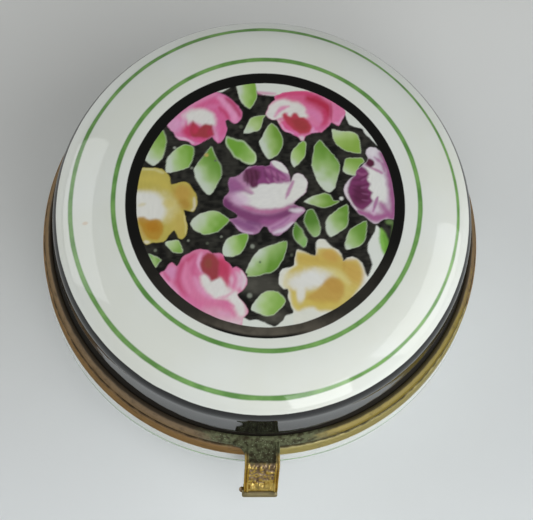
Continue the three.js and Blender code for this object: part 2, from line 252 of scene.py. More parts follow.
class Painting:
    """Colours on points in millimetres, laid one over another as a painter lays them."""

    def __init__(self, x, y):
        self.x, self.y = x, y
        self.color = np.zeros((len(x), 3))
        self.petals = np.ones(len(x))  # where the brush may go
        self.waver = (grain(x, y, 0.5, 1) - 0.5) * 0.10 + (grain(x, y, 0.22, 2) - 0.5) * 0.05

    def near(self, line, margin):
        low, high = line.min(0) - margin, line.max(0) + margin
        inside = (self.x > low[0]) & (self.x < high[0]) & (self.y > low[1]) & (self.y < high[1])
        return np.flatnonzero(inside)

    def depth(self, outline, margin=1.0):
        """The points near an outline and how deep inside it they are."""
        line = curve_through(outline, True)
        where = self.near(line, margin)
        away, _, enclosed = from_line(self.x[where], self.y[where], line, True)
        return where, np.where(enclosed, away, -away) + self.waver[where]

    def lay(self, where, cover, color):
        cover = (cover * self.petals[where])[:, None]
        self.color[where] += (color - self.color[where]) * cover

    def fill(self, outline, color, soft=0.07, strength=1.0):
        where, depth = self.depth(outline, soft + 0.3)
        self.lay(where, smooth(depth, -soft, soft) * strength, display(*color))

    def free_brush(self):
        """Lets the brush go anywhere again."""
        self.petals[:] = 1

    def flower(self, outline, color):
        """Fills an outline, and keeps the brush inside it until the flower is finished."""
        self.free_brush()
        self.fill(outline, color)
        where, depth = self.depth(outline)
        self.petals[:] = 0
        self.petals[where] = smooth(depth, -0.05, 0.09)

    def stroke(self, points, wide, color, strength=1.0, soft=0.25, taper=0.5):
        line = curve_through(points, False)
        where = self.near(line, wide + soft)
        away, along, _ = from_line(self.x[where], self.y[where], line)
        half = wide / 2 * (1 - taper * np.abs(2 * along - 1) ** 2)
        edge = away + self.waver[where]
        self.lay(where, smooth(edge, half + soft, half - soft) * strength, display(*color))

    def glow(self, centre, wide, high, color, strength=1.0, turn=0):
        """A soft oval patch, turned by some degrees."""
        dx, dy = self.x - centre[0], self.y - centre[1]
        c, s = math.cos(math.radians(turn)), math.sin(math.radians(turn))
        away = np.hypot((dx * c + dy * s) / wide, (dy * c - dx * s) / high) + self.waver * 2
        where = np.flatnonzero(away < 1.6)
        self.lay(where, smooth(away[where], 1.5, 0.45) * strength, display(*color))

    def scumble(self, amount, size, seed, turn=0, long=3.0):
        """Uneven paint inside the flower, drawn out along the direction of the brush."""
        where = np.flatnonzero(self.petals > 0)
        c, s = math.cos(math.radians(turn)), math.sin(math.radians(turn))
        u = self.x[where] * c + self.y[where] * s
        v = self.y[where] * c - self.x[where] * s
        uneven = (grain(u / long, v, size, seed) - 0.5) * 2 * amount * self.petals[where]
        self.color[where] *= 1 + uneven[:, None]

    def leaf(self, outline, toward, pale=(186, 195, 180), deep=(103, 141, 53), middle=0.0, rim=0.13):
        """A leaf, pale on one side and green toward a direction in degrees, with a thin pale rim."""
        self.free_brush()
        where, depth = self.depth(outline)
        points = np.array(outline)
        centre = (points.min(0) + points.max(0)) / 2
        c, s = math.cos(math.radians(toward)), math.sin(math.radians(toward))
        reach = np.abs((points - centre) @ (c, s)).max()
        side = ((self.x[where] - centre[0]) * c + (self.y[where] - centre[1]) * s) / reach
        side += (grain(self.x[where], self.y[where], 0.6, 5) - 0.5) * 0.35
        half = np.array(deep) * 0.6 + LEAF_LIGHT
        color = pale + (half - pale) * smooth(side, middle - 0.85, middle + 0.1)[:, None]
        color = display_row(color + (deep - color) * smooth(side, middle - 0.2, middle + 0.75)[:, None])
        inner = smooth(depth, 0.0, rim)[:, None] * 0.6 + 0.4
        color = display(*LEAF_RIM) + (color - display(*LEAF_RIM)) * inner
        self.lay(where, smooth(depth, -0.07, 0.07), color)

    def speck(self, centre, size, color, strength=1.0):
        self.free_brush()
        self.glow(centre, size, size, color, strength)


# ---------------------------------------------------------------- the medallion's painting

PETAL_WHITE = (208, 207, 203)


def paint_ground(p):
    """The worn black ground between the flowers, grey at the front with wear and a painted reflection."""
    x, y = p.x, p.y
    brushed = grain(x, y, 0.45, 11) * 0.6 + grain(x, y, 1.7, 12) * 0.5 + grain(x / 3, y, 0.16, 13) * 0.35
    # Grey patches at the front: wear, and a painted reflection of light on the black.
    wear_and_sheen = smooth(np.hypot((x + 0.4) / 2.4, (y + 8.8) / 1.2), 1.3, 0.3) * 0.9
    wear_and_sheen = np.maximum(wear_and_sheen, smooth(np.hypot((x - 1.0) / 1.5, (y + 12.0) / 0.8), 1.3, 0.4))
    tone = smooth(brushed, 0.35, 1.3) * 0.4 + wear_and_sheen * 0.75
    dark, light = display(*GROUND_BLACK), display(78, 76, 69)
    p.color[:] = dark + (light - dark) * np.clip(tone, 0, 1)[:, None]


def paint_bare_porcelain(p):
    """White left between the ground and the ring."""
    white = (203, 206, 199)
    p.fill([(-0.9, 13.6), (-0.7, 12.1), (-0.4, 11.75), (1.2, 11.6), (4.2, 12.1), (5.3, 12.0), (5.2, 13.6)],
           white)
    p.stroke([(-0.5, 11.9), (1.2, 11.75)], 0.35, (196, 120, 160), 0.8, 0.2)
    p.fill([(8.3, 10.2), (8.7, 8.6), (9.0, 8.3), (10.1, 8.0), (10.4, 7.5), (11.45, 6.3), (12.2, 6.3),
            (11.4, 8.0), (9.4, 10.2)], white)
    p.fill([(-4.9, 12.05), (-4.5, 11.9), (-4.1, 12.0), (-3.2, 12.62), (-4.0, 12.42)], white)
    p.fill([(-2.6, -13.6), (-2.3, -12.1), (-1.6, -12.3), (-0.6, -12.3), (0.7, -12.9), (1.3, -12.75),
            (1.8, -12.3), (2.1, -11.8), (2.7, -11.6), (3.2, -11.3), (3.2, -13.6)], white)
    p.fill([(11.3, -2.35), (11.15, -2.9), (10.5, -4.2), (10.4, -5.1), (10.8, -6.5), (10.2, -8.2),
            (11.3, -7.9), (12.6, -5.6), (12.0, -3.4)], white)


def paint_pink_back_left(p):
    p.flower([(-9.85, 8.3), (-9.0, 9.2), (-8.3, 10.0), (-5.7, 11.65), (-5.0, 12.0), (-4.4, 11.85),
              (-3.2, 11.1), (-2.3, 10.0), (-2.15, 9.6), (-2.3, 9.0), (-2.6, 8.55), (-3.0, 8.45),
              (-3.6, 8.9), (-3.9, 8.7), (-3.7, 8.0), (-3.75, 7.5), (-4.2, 6.55), (-4.65, 6.3), (-5.0, 6.6),
              (-5.3, 7.0), (-6.4, 6.25), (-7.0, 6.0), (-7.35, 6.15), (-7.6, 6.45), (-8.6, 6.7), (-9.0, 7.0),
              (-9.2, 7.5)], (203, 116, 160))
    p.glow((-9.2, 8.3), 1.1, 0.8, (205, 150, 185), 0.9, 35)
    p.stroke([(-8.6, 9.4), (-6.6, 10.8), (-4.9, 11.7)], 0.5, (207, 140, 175), 0.8, 0.3)
    p.stroke([(-6.8, 10.3), (-5.3, 10.9), (-4.3, 10.9), (-3.6, 10.2)], 0.9, (199, 88, 135), 0.9, 0.4)
    p.stroke([(-5.4, 9.9), (-4.7, 9.7), (-4.2, 8.9), (-4.1, 8.1), (-4.3, 7.3)], 1.0, (201, 92, 140), 0.85,
             0.4)
    p.stroke([(-4.5, 11.3), (-3.6, 10.4), (-3.0, 9.5), (-2.9, 8.8)], 0.75, (214, 142, 180), 0.95, 0.25, 0.3)
    p.stroke([(-3.8, 11.25), (-3.1, 10.6), (-2.35, 9.3)], 0.55, (170, 62, 100), 0.85, 0.28)
    p.stroke([(-4.5, 10.2), (-3.9, 9.6), (-3.6, 8.95)], 0.4, (186, 62, 105), 0.9, 0.25)
    p.fill([(-8.3, 9.4), (-7.4, 9.95), (-6.2, 10.05), (-5.2, 9.6), (-4.9, 8.9), (-5.0, 8.2), (-6.0, 8.1),
            (-7.9, 8.9)], PETAL_WHITE, 0.35, 0.97)
    p.stroke([(-8.0, 9.5), (-8.2, 8.6), (-8.0, 7.9)], 0.35, (210, 165, 190), 0.7, 0.2)
    p.stroke([(-7.5, 9.2), (-7.7, 8.3)], 0.3, PETAL_WHITE, 0.7, 0.15)
    p.glow((-7.5, 7.6), 0.75, 0.75, (186, 55, 95), 0.95, 20)
    p.fill([(-7.5, 7.9), (-7.2, 8.75), (-6.6, 8.1), (-5.9, 8.4), (-5.3, 8.3), (-4.95, 7.9), (-4.95, 7.3),
            (-6.0, 6.7), (-6.9, 6.8), (-7.4, 7.2)], (152, 58, 66), 0.2)
    p.glow((-7.0, 7.8), 0.4, 0.5, (185, 55, 85), 0.7)
    p.glow((-5.4, 7.5), 0.35, 0.4, (170, 48, 78), 0.6)
    p.glow((-6.4, 6.65), 1.0, 0.3, (200, 75, 125), 0.8, -8)
    p.stroke([(-9.5, 7.7), (-8.9, 6.9), (-8.0, 6.75), (-7.2, 6.3)], 0.3, (216, 176, 200), 0.8, 0.15)
    p.stroke([(-5.1, 8.1), (-4.7, 6.6)], 0.35, (212, 150, 185), 0.8, 0.2)
    p.scumble(0.035, 0.16, 21, 60)


def paint_pink_back_right(p):
    p.flower([(0.2, 9.5), (0.8, 10.8), (1.15, 11.1), (1.3, 11.6), (2.8, 12.1), (5.0, 12.05), (6.7, 11.3),
              (8.1, 10.3), (8.4, 9.7), (7.8, 8.4), (7.6, 8.3), (6.95, 8.7), (6.7, 8.3), (5.9, 7.6),
              (4.9, 7.4), (4.3, 7.1), (4.1, 6.6), (3.8, 6.6), (3.6, 6.9), (2.8, 7.4), (2.3, 7.5),
              (1.9, 7.9), (1.4, 8.85), (0.9, 8.85)], (207, 118, 158))
    p.fill([(0.1, 9.2), (0.6, 10.5), (1.7, 11.2), (3.4, 11.0), (4.3, 10.2), (4.6, 9.3), (3.9, 8.9),
            (2.2, 9.0), (1.6, 8.4), (0.8, 8.6)], PETAL_WHITE, 0.3, 0.96)
    p.stroke([(1.4, 11.4), (2.8, 11.85), (4.4, 11.8), (5.7, 11.3)], 0.75, (196, 62, 108), 0.85, 0.3)
    p.stroke([(2.6, 11.3), (4.0, 11.2), (5.2, 10.6), (6.2, 9.8)], 0.9, (196, 84, 125), 0.8, 0.4)
    p.stroke([(4.6, 11.3), (5.7, 10.9), (6.5, 10.3), (6.6, 9.4)], 1.0, (168, 42, 68), 0.95, 0.4)
    p.stroke([(6.2, 9.9), (6.4, 9.0), (6.0, 8.2)], 0.7, (186, 58, 98), 0.85, 0.3)
    p.stroke([(6.95, 10.8), (6.95, 8.8)], 0.22, (168, 48, 90), 0.75, 0.15)
    p.stroke([(7.6, 10.5), (7.5, 8.6)], 0.6, (204, 112, 155), 0.8, 0.25)
    p.stroke([(7.3, 8.6), (7.8, 8.6), (8.2, 9.4)], 0.3, (208, 158, 190), 0.7, 0.15)
    p.stroke([(4.5, 9.8), (5.2, 9.6), (5.8, 8.8)], 0.6, (205, 120, 165), 0.8, 0.3)
    p.stroke([(5.0, 8.2), (5.4, 7.9), (6.2, 8.2)], 0.5, (200, 96, 145), 0.7, 0.25)
    p.stroke([(1.2, 9.3), (1.8, 10.1), (2.6, 10.4)], 0.4, (205, 118, 162), 0.85, 0.2)
    p.stroke([(1.5, 8.9), (2.1, 9.1), (2.4, 9.6)], 0.35, (200, 100, 150), 0.8, 0.2)
    p.glow((2.4, 8.2), 0.8, 0.9, (205, 85, 130), 0.9, 30)
    p.fill([(1.95, 9.4), (2.2, 9.65), (2.5, 9.35), (2.8, 9.3), (3.1, 9.65), (3.45, 9.6), (3.7, 9.2),
            (4.2, 9.15), (4.7, 8.7), (4.95, 8.1), (4.8, 7.6), (3.7, 7.3), (2.4, 8.5)], (174, 62, 78), 0.2)
    p.fill([(2.8, 8.9), (3.6, 9.0), (4.4, 8.7), (4.6, 8.0), (4.2, 7.6), (3.5, 7.8)], (150, 58, 60), 0.3,
           0.85)
    p.glow((3.0, 7.4), 0.7, 0.3, (210, 105, 160), 0.8, -25)
    p.stroke([(5.1, 8.0), (5.0, 7.6), (5.4, 7.6)], 0.4, (213, 150, 190), 0.8, 0.2)
    p.stroke([(1.8, 8.4), (2.2, 7.7), (3.0, 7.35)], 0.3, (212, 168, 200), 0.75, 0.15)
    p.glow((3.85, 6.8), 0.4, 0.3, (206, 190, 198), 0.9)
    p.scumble(0.035, 0.16, 22, 20)


def paint_purple_middle(p):
    p.flower([(-3.4, 2.6), (-3.6, 2.0), (-3.5, 1.2), (-4.1, 0.2), (-4.0, -0.5), (-2.7, -1.4), (-2.8, -1.7),
              (-3.5, -1.9), (-2.9, -2.5), (-2.5, -3.1), (-1.1, -3.5), (-0.5, -3.2), (-0.1, -2.6),
              (0.3, -2.7), (0.5, -3.2), (1.0, -3.5), (1.6, -3.5), (2.8, -2.5), (3.2, -1.9), (4.1, -1.0),
              (3.9, -0.6), (3.0, -0.2), (4.2, 1.0), (4.4, 2.0), (4.3, 2.5), (3.9, 2.9), (3.4, 3.05),
              (3.0, 2.9), (2.7, 2.1), (2.6, 2.9), (2.3, 3.6), (1.7, 4.2), (1.1, 4.45), (0.7, 4.3),
              (0.6, 3.95), (0.1, 3.8), (-0.5, 3.9), (-1.6, 3.7), (-2.5, 2.8)], (166, 122, 154))
    p.fill([(-2.8, 0.9), (-1.2, 1.5), (0.0, 2.1), (1.4, 2.2), (2.6, 2.0), (4.3, 2.6), (4.2, 1.0),
            (3.0, -0.1), (1.6, -0.7), (-0.4, -0.8), (-2.0, -0.2)], PETAL_WHITE, 0.35, 0.97)
    p.fill([(2.8, 2.9), (3.9, 3.1), (4.5, 2.0), (3.6, 0.4), (2.7, 0.6)], PETAL_WHITE, 0.15, 0.9)
    p.fill([(0.7, 4.5), (1.8, 4.3), (2.5, 3.5), (2.6, 2.9), (1.2, 3.7)], PETAL_WHITE, 0.12, 0.95)
    p.fill([(-1.9, 3.6), (0.6, 3.9), (2.4, 2.5), (0.4, 1.9), (-0.4, 1.9), (-1.2, 1.6)], (126, 64, 110),
           0.16)
    p.stroke([(0.2, 3.4), (2.2, 2.5)], 0.5, (166, 104, 147), 0.75, 0.25)
    p.stroke([(-0.3, 2.2), (1.6, 2.1), (2.6, 2.3)], 0.25, (130, 64, 112), 0.7, 0.15)
    p.fill([(-1.8, 3.4), (-1.1, 3.6), (-0.3, 3.2), (-0.4, 2.5), (-0.8, 2.2), (-0.7, 1.6), (-1.2, 1.5),
            (-1.5, 1.9), (-2.0, 2.2), (-2.1, 2.8)], (90, 46, 70), 0.22, 0.9)
    for x in (-1.8, -1.35, -0.85):
        p.stroke([(x, 3.3), (x + 0.15, 2.5), (x + 0.1, 1.7)], 0.2, (66, 30, 48), 0.6, 0.14)
    for x in (0.2, 0.9, 1.5):
        p.stroke([(x - 0.2, 3.6 - x / 3), (x, 2.9 - x / 4), (x + 0.25, 2.3)], 0.26, (102, 50, 86), 0.65,
                 0.14)
        p.stroke([(x + 0.1, 2.5), (x + 0.4, 2.0)], 0.22, (166, 112, 150), 0.6, 0.12)
    p.stroke([(-2.3, 3.1), (-2.2, 3.5), (-1.4, 3.8)], 0.3, (205, 195, 205), 0.85, 0.15)
    p.glow((-3.0, 1.6), 0.75, 0.9, (140, 84, 130), 0.9, 70)
    p.stroke([(-3.4, 2.3), (-2.6, 1.6), (-1.3, 0.9)], 0.55, (148, 90, 134), 0.8, 0.25)
    p.stroke([(-2.6, 2.4), (-1.1, 0.9)], 0.3, (176, 127, 160), 0.7, 0.2)
    p.glow((-2.4, 0.3), 0.9, 0.7, (200, 170, 195), 0.7, -20)
    p.glow((2.4, 1.2), 0.5, 0.7, PETAL_WHITE, 0.5)
    p.stroke([(2.95, 2.2), (2.2, 0.4)], 0.35, (166, 110, 150), 0.85, 0.15)
    p.stroke([(-3.9, 0.1), (-3.6, -0.6), (-1.3, -1.7), (0.3, -1.9), (1.9, -1.4), (3.1, -0.7)], 1.1,
             (118, 62, 104), 0.97, 0.35, 0.4)
    p.stroke([(-3.8, -0.1), (-3.5, -0.6)], 0.9, (108, 56, 98), 0.85, 0.3)
    p.stroke([(-2.1, -0.5), (-0.8, -0.95), (0.8, -1.05), (2.4, -0.6)], 0.4, (170, 97, 137), 0.8, 0.25)
    p.stroke([(-3.1, -2.0), (-0.9, -2.9)], 0.9, (126, 74, 120), 0.85, 0.35)
    p.stroke([(-0.3, -2.1), (0.6, -2.2), (1.8, -1.9)], 0.7, (146, 82, 130), 0.8, 0.3)
    p.stroke([(0.4, -2.9), (2.6, -1.8), (3.6, -1.1)], 0.6, (178, 132, 167), 0.8, 0.25)
    p.stroke([(1.0, -3.3), (2.1, -2.9), (2.9, -2.2)], 0.4, (206, 196, 206), 0.85, 0.2)
    p.stroke([(2.6, -0.9), (3.9, -0.9)], 0.5, (206, 198, 206), 0.85, 0.2)
    p.stroke([(0.8, -2.8), (1.8, -2.3), (2.6, -1.6)], 0.25, (140, 80, 132), 0.6, 0.15)
    p.stroke([(-2.9, -2.5), (-2.1, -3.2), (-1.2, -3.35)], 0.25, (196, 172, 198), 0.75, 0.12)
    p.stroke([(-1.6, -2.2), (-0.6, -2.4), (-0.3, -2.8)], 0.4, (110, 62, 107), 0.6, 0.2)
    p.scumble(0.04, 0.15, 23, 15)


def paint_purple_right(p):
    p.flower([(10.4, 5.3), (10.5, 5.7), (10.9, 6.05), (11.4, 5.9), (12.3, 5.2), (12.9, 4.0), (13.3, 2.5),
              (13.5, 1.0), (13.5, -0.5), (13.3, -1.7), (12.5, -1.7), (11.9, -1.8), (11.5, -2.15),
              (11.0, -2.2), (10.1, -1.4), (9.5, -1.2), (8.3, 0.6), (8.1, 1.4), (8.3, 2.0), (8.8, 2.6),
              (9.3, 2.9), (9.4, 3.4), (10.4, 4.4), (10.6, 4.8)], (196, 184, 194))
    p.fill([(10.4, 3.8), (11.3, 3.9), (12.2, 2.8), (12.5, 1.2), (12.2, 0.0), (11.2, 0.2), (10.5, 1.0)],
           PETAL_WHITE, 0.3)
    p.glow((11.0, 5.5), 0.6, 0.5, (206, 200, 204), 0.9)
    p.stroke([(12.0, 5.3), (12.7, 3.6), (13.1, -0.4), (12.9, -1.6)], 0.75, (140, 68, 118), 0.92, 0.35, 0.25)
    p.stroke([(9.4, -0.9), (11.2, -1.6), (12.4, -1.3)], 0.9, (150, 76, 128), 0.9, 0.35)
    p.stroke([(11.8, -0.1), (12.7, -1.4)], 0.8, (148, 80, 128), 0.85, 0.35)
    p.stroke([(10.8, -0.6), (11.1, -1.2)], 0.5, (198, 170, 194), 0.7, 0.2)
    p.stroke([(11.5, 0.6), (11.0, -0.9)], 0.3, (150, 88, 134), 0.85, 0.12)
    p.stroke([(10.3, 4.1), (12.0, 3.2)], 0.3, (160, 100, 140), 0.85, 0.15)
    p.stroke([(11.3, 4.9), (12.0, 4.3), (12.3, 3.4)], 0.3, (150, 88, 132), 0.75, 0.15)
    p.fill([(10.3, 4.7), (10.8, 4.75), (11.2, 4.45), (11.25, 4.05), (10.8, 3.85), (10.4, 4.1)],
           (82, 34, 56), 0.15)
    p.fill([(9.3, 3.5), (9.75, 4.0), (10.3, 3.7), (10.7, 3.1), (10.45, 2.5), (10.8, 2.0), (10.55, 1.5),
            (11.0, 1.1), (10.8, 0.6), (11.0, 0.1), (10.0, -0.8), (9.2, -0.5), (8.65, 0.2), (8.5, 1.2),
            (8.7, 2.2), (9.1, 2.8)], (114, 54, 94), 0.17)
    p.fill([(9.2, 1.5), (9.8, 1.9), (10.6, 0.7), (10.3, 0.0), (9.5, -0.2), (9.0, 0.4)], (82, 36, 62), 0.35,
           0.8)
    for low, lean in ((2.7, 0.3), (1.9, 0.1), (1.3, -0.15), (0.6, -0.1)):
        p.stroke([(9.0, low - lean), (9.7, low - 0.25), (10.5, low + lean)], 0.26, (78, 34, 60), 0.55, 0.16)
        p.stroke([(9.9, low - 0.3), (10.6, low + lean - 0.3)], 0.2, (140, 86, 124), 0.5, 0.12)
    p.stroke([(9.4, 3.3), (9.9, 3.0), (10.4, 3.1)], 0.25, (150, 88, 127), 0.6, 0.12)
    p.stroke([(8.35, 1.9), (8.3, 1.0), (9.3, -0.8)], 0.25, (205, 196, 202), 0.85, 0.12)
    p.scumble(0.04, 0.15, 24, 80)


def paint_yellow_left(p):
    p.flower([(-12.9, 3.6), (-10.3, 3.5), (-9.5, 2.6), (-9.35, 1.85), (-8.1, 2.1), (-7.5, 1.8), (-6.8, 0.7),
              (-6.75, -0.2), (-6.9, -0.8), (-7.2, -1.1), (-8.1, -0.85), (-7.9, -1.5), (-7.7, -2.9),
              (-7.9, -3.6), (-8.2, -3.95), (-8.6, -3.8), (-9.0, -3.1), (-9.5, -3.5), (-9.9, -4.1),
              (-10.5, -4.3), (-11.1, -4.25), (-11.6, -4.5), (-12.0, -4.35), (-13.3, -2.0), (-13.5, 0),
              (-13.4, 1.8)], (176, 162, 82))
    p.stroke([(-12.5, 3.5), (-11.2, 3.5), (-10.2, 3.1)], 0.3, (196, 190, 140), 0.7, 0.15)
    p.stroke([(-12.3, 2.4), (-10.8, 2.4), (-9.6, 1.4)], 0.9, (184, 168, 84), 0.8, 0.4)
    p.glow((-8.2, 0.9), 1.0, 1.0, (176, 142, 70), 0.9)
    p.glow((-8.0, -0.3), 0.7, 0.6, (164, 128, 58), 0.85, -20)
    p.glow((-9.0, -1.6), 1.0, 1.6, (186, 168, 92), 0.8, 15)
    p.stroke([(-8.6, -1.6), (-8.4, -3.4)], 0.7, (178, 158, 84), 0.7, 0.3)
    p.stroke([(-7.05, 0.4), (-7.0, -0.6), (-7.3, -0.95)], 0.3, (200, 192, 170), 0.8, 0.15)
    p.stroke([(-9.4, 1.8), (-9.0, 1.0)], 0.3, (168, 146, 72), 0.6, 0.15)
    p.glow((-10.9, -0.5), 1.9, 1.6, (200, 192, 150), 0.9, -15)
    p.fill([(-13.6, 1.1), (-11.0, 0.95), (-10.2, 0.2), (-9.9, -1.0), (-10.3, -1.9), (-11.2, -2.1),
            (-12.4, -1.9), (-13.6, -1.4)], PETAL_WHITE, 0.4, 0.97)
    p.stroke([(-12.6, -0.4), (-12.0, -0.2)], 0.35, (190, 176, 120), 0.55, 0.2)
    p.glow((-9.6, -0.2), 0.6, 0.5, (192, 176, 104), 0.6)
    p.fill([(-12.7, -1.75), (-12.1, -1.6), (-11.5, -1.95), (-10.9, -1.75), (-10.4, -1.95), (-10.1, -2.6),
            (-10.2, -3.4), (-10.7, -4.0), (-11.5, -3.9), (-12.2, -3.4)], (168, 128, 48), 0.2, 0.92)
    p.glow((-11.2, -2.6), 0.8, 0.6, (166, 114, 36), 0.8, -20)
    p.stroke([(-12.5, -2.6), (-11.9, -4.2)], 0.35, (180, 158, 96), 0.7, 0.2)
    p.glow((-11.8, -4.25), 0.35, 0.2, (205, 198, 175), 0.85)
    p.stroke([(-8.0, -1.2), (-7.85, -2.4), (-7.9, -3.5)], 0.2, (200, 190, 140), 0.6, 0.1)
    p.scumble(0.03, 0.2, 25, 90)
    p.free_brush()
    p.fill([(-9.0, -3.0), (-9.5, -3.6), (-9.4, -3.85), (-8.9, -3.7), (-8.65, -3.95)], (40, 38, 32), 0.06)


def paint_pink_front_left(p):
    p.flower([(-10.3, -7.4), (-9.9, -7.2), (-9.6, -6.65), (-9.2, -6.4), (-8.7, -6.8), (-8.1, -5.7),
              (-7.0, -5.15), (-6.3, -5.0), (-5.6, -5.1), (-5.2, -5.45), (-4.5, -5.4), (-4.1, -5.7),
              (-3.9, -6.2), (-3.5, -6.5), (-3.2, -7.0), (-2.8, -6.85), (-2.4, -7.05), (-2.0, -7.5),
              (-1.75, -8.1), (-1.8, -8.7), (-2.2, -9.3), (-2.7, -9.75), (-1.7, -11.1), (-1.7, -11.6),
              (-2.2, -12.1), (-2.5, -13.3), (-5.5, -12.2), (-8.5, -10.3), (-10.6, -8.0)], (201, 115, 151))
    p.glow((-9.2, -7.4), 0.7, 0.9, (200, 135, 173), 0.85, 60)
    p.stroke([(-10.2, -7.7), (-9.2, -9.0), (-7.6, -10.4), (-5.5, -11.5)], 0.5, (210, 152, 185), 0.75, 0.3)
    p.stroke([(-10.0, -7.4), (-9.5, -8.2)], 0.35, (188, 77, 121), 0.7, 0.2)
    p.stroke([(-7.0, -5.6), (-8.3, -6.8), (-8.6, -8.4), (-7.9, -9.8)], 0.65, (182, 69, 109), 0.85, 0.35)
    p.stroke([(-6.8, -5.9), (-7.1, -7.2), (-6.8, -8.0)], 0.55, (190, 85, 129), 0.7, 0.35)
    p.stroke([(-7.8, -6.4), (-8.0, -8.0), (-7.4, -9.4)], 0.4, (208, 127, 163), 0.7, 0.25)
    p.stroke([(-8.2, -9.7), (-6.6, -10.9), (-4.8, -11.6)], 0.8, (198, 93, 139), 0.65, 0.4)
    p.stroke([(-6.3, -5.4), (-6.6, -6.4), (-6.2, -7.4)], 0.35, (214, 160, 192), 0.8, 0.2)
    p.stroke([(-6.9, -8.0), (-6.3, -9.2), (-5.0, -10.2)], 0.6, (210, 150, 184), 0.7, 0.35)
    p.fill([(-6.4, -7.9), (-5.9, -7.6), (-5.2, -8.2), (-4.4, -7.7), (-3.6, -9.0), (-4.6, -10.0),
            (-5.6, -9.6), (-6.2, -8.8)], PETAL_WHITE, 0.28, 0.96)
    p.stroke([(-4.6, -9.8), (-3.4, -9.7), (-2.6, -10.6), (-2.3, -11.6)], 1.3, PETAL_WHITE, 0.95, 0.4, 0.3)
    p.stroke([(-5.0, -12.4), (-3.4, -12.7), (-2.3, -12.4)], 0.9, (208, 196, 198), 0.8, 0.5)
    p.glow((-4.4, -12.0), 2.0, 0.8, (206, 172, 188), 0.5, -18)
    p.stroke([(-5.2, -10.3), (-4.1, -10.4), (-3.1, -10.9)], 0.4, (200, 102, 146), 0.75, 0.22)
    p.stroke([(-4.6, -11.6), (-3.6, -11.7)], 0.4, (205, 150, 180), 0.6, 0.25)
    p.glow((-2.7, -8.2), 0.85, 0.8, (206, 176, 192), 0.9, -30)
    p.stroke([(-3.4, -7.0), (-2.9, -8.0), (-3.1, -9.0)], 0.45, (200, 107, 146), 0.8, 0.25)
    p.stroke([(-2.3, -7.3), (-1.95, -8.1), (-2.2, -9.1)], 0.35, (208, 200, 204), 0.8, 0.2)
    p.stroke([(-3.0, -9.2), (-3.8, -9.9), (-4.6, -10.0)], 0.3, (204, 137, 166), 0.7, 0.2)
    p.glow((-4.1, -6.8), 0.8, 1.0, (190, 63, 97), 0.9, 20)
    p.fill([(-4.9, -6.2), (-4.2, -6.2), (-3.7, -6.9), (-3.45, -7.8), (-3.7, -8.9), (-4.3, -8.0),
            (-4.9, -7.9)], (176, 60, 88), 0.28, 0.85)
    p.fill([(-6.2, -5.9), (-5.7, -5.4), (-5.1, -5.5), (-4.6, -6.1), (-4.6, -7.9), (-5.3, -8.3),
            (-5.6, -7.8), (-6.2, -7.3), (-6.45, -6.6)], (144, 60, 66), 0.22)
    p.glow((-5.6, -6.5), 0.4, 0.5, (132, 72, 58), 0.7)
    p.scumble(0.035, 0.16, 26, 75)


def paint_yellow_front_right(p):
    p.flower([(1.4, -8.0), (1.8, -7.05), (2.9, -6.7), (3.1, -5.4), (3.4, -5.0), (4.5, -5.5), (5.1, -5.6),
              (5.15, -4.3), (5.5, -3.9), (6.1, -4.0), (6.9, -4.8), (7.4, -5.0), (7.7, -5.5), (7.9, -6.2),
              (8.3, -5.8), (8.8, -5.7), (9.3, -5.9), (9.8, -6.4), (10.4, -8.0), (11.2, -8.0), (9.0, -10.4),
              (6.0, -12.3), (3.0, -13.4), (2.8, -11.4), (2.35, -10.0), (2.4, -9.4), (2.3, -9.05),
              (1.9, -9.1), (1.5, -8.7)], (206, 206, 198))
    p.fill([(2.0, -8.6), (2.3, -7.3), (3.2, -6.6), (3.2, -5.2), (5.2, -5.6), (5.3, -4.9), (6.9, -4.9),
            (8.1, -6.1), (9.3, -6.0), (9.8, -7.2), (9.6, -8.6), (8.6, -10.2), (7.4, -11.3), (5.4, -11.3),
            (4.8, -10.9), (3.2, -11.3), (2.7, -10.6), (2.5, -9.4)], (190, 170, 88), 0.3, 0.95)
    p.stroke([(3.6, -6.0), (7.0, -6.2), (8.6, -7.0)], 1.3, (184, 156, 78), 0.8, 0.5, 0.3)
    p.glow((6.6, -5.6), 0.9, 0.6, (184, 146, 76), 0.8, -25)
    p.glow((8.9, -7.4), 0.9, 1.3, (184, 150, 78), 0.85, 20)
    p.glow((5.9, -4.4), 0.7, 0.35, (204, 202, 190), 0.95, -20)
    p.stroke([(8.0, -6.2), (7.9, -7.2)], 0.3, (176, 142, 70), 0.6, 0.2)
    p.stroke([(5.2, -5.4), (5.3, -6.2)], 0.3, (180, 150, 76), 0.5, 0.2)
    p.stroke([(5.4, -7.0), (7.2, -7.4), (8.4, -8.4)], 0.6, (200, 190, 130), 0.7, 0.4)
    p.glow((2.2, -8.2), 0.5, 0.9, (202, 194, 150), 0.6)
    p.stroke([(1.65, -8.6), (1.7, -7.7), (2.3, -7.1)], 0.35, (206, 204, 192), 0.8, 0.2)
    p.glow((4.6, -8.1), 2.0, 1.05, PETAL_WHITE, 1.0, 8)
    p.glow((3.6, -9.6), 0.45, 0.9, PETAL_WHITE, 0.9, -10)
    p.glow((3.2, -8.6), 0.9, 0.6, PETAL_WHITE, 0.8)
    p.stroke([(2.9, -9.6), (3.0, -10.6), (3.4, -11.2)], 0.5, (196, 178, 98), 0.75, 0.25)
    p.fill([(6.0, -8.3), (6.7, -7.85), (7.5, -8.1), (7.9, -8.7), (7.9, -9.6), (7.2, -10.5), (5.6, -10.7),
            (4.2, -10.2), (4.3, -9.8), (5.1, -9.3)], (180, 146, 76), 0.25, 0.95)
    p.glow((6.9, -8.7), 0.9, 0.7, (176, 138, 70), 0.8, -30)
    p.stroke([(4.2, -10.4), (5.6, -10.7), (7.2, -10.6)], 0.7, (192, 170, 84), 0.7, 0.4)
    p.scumble(0.03, 0.2, 27, -30)


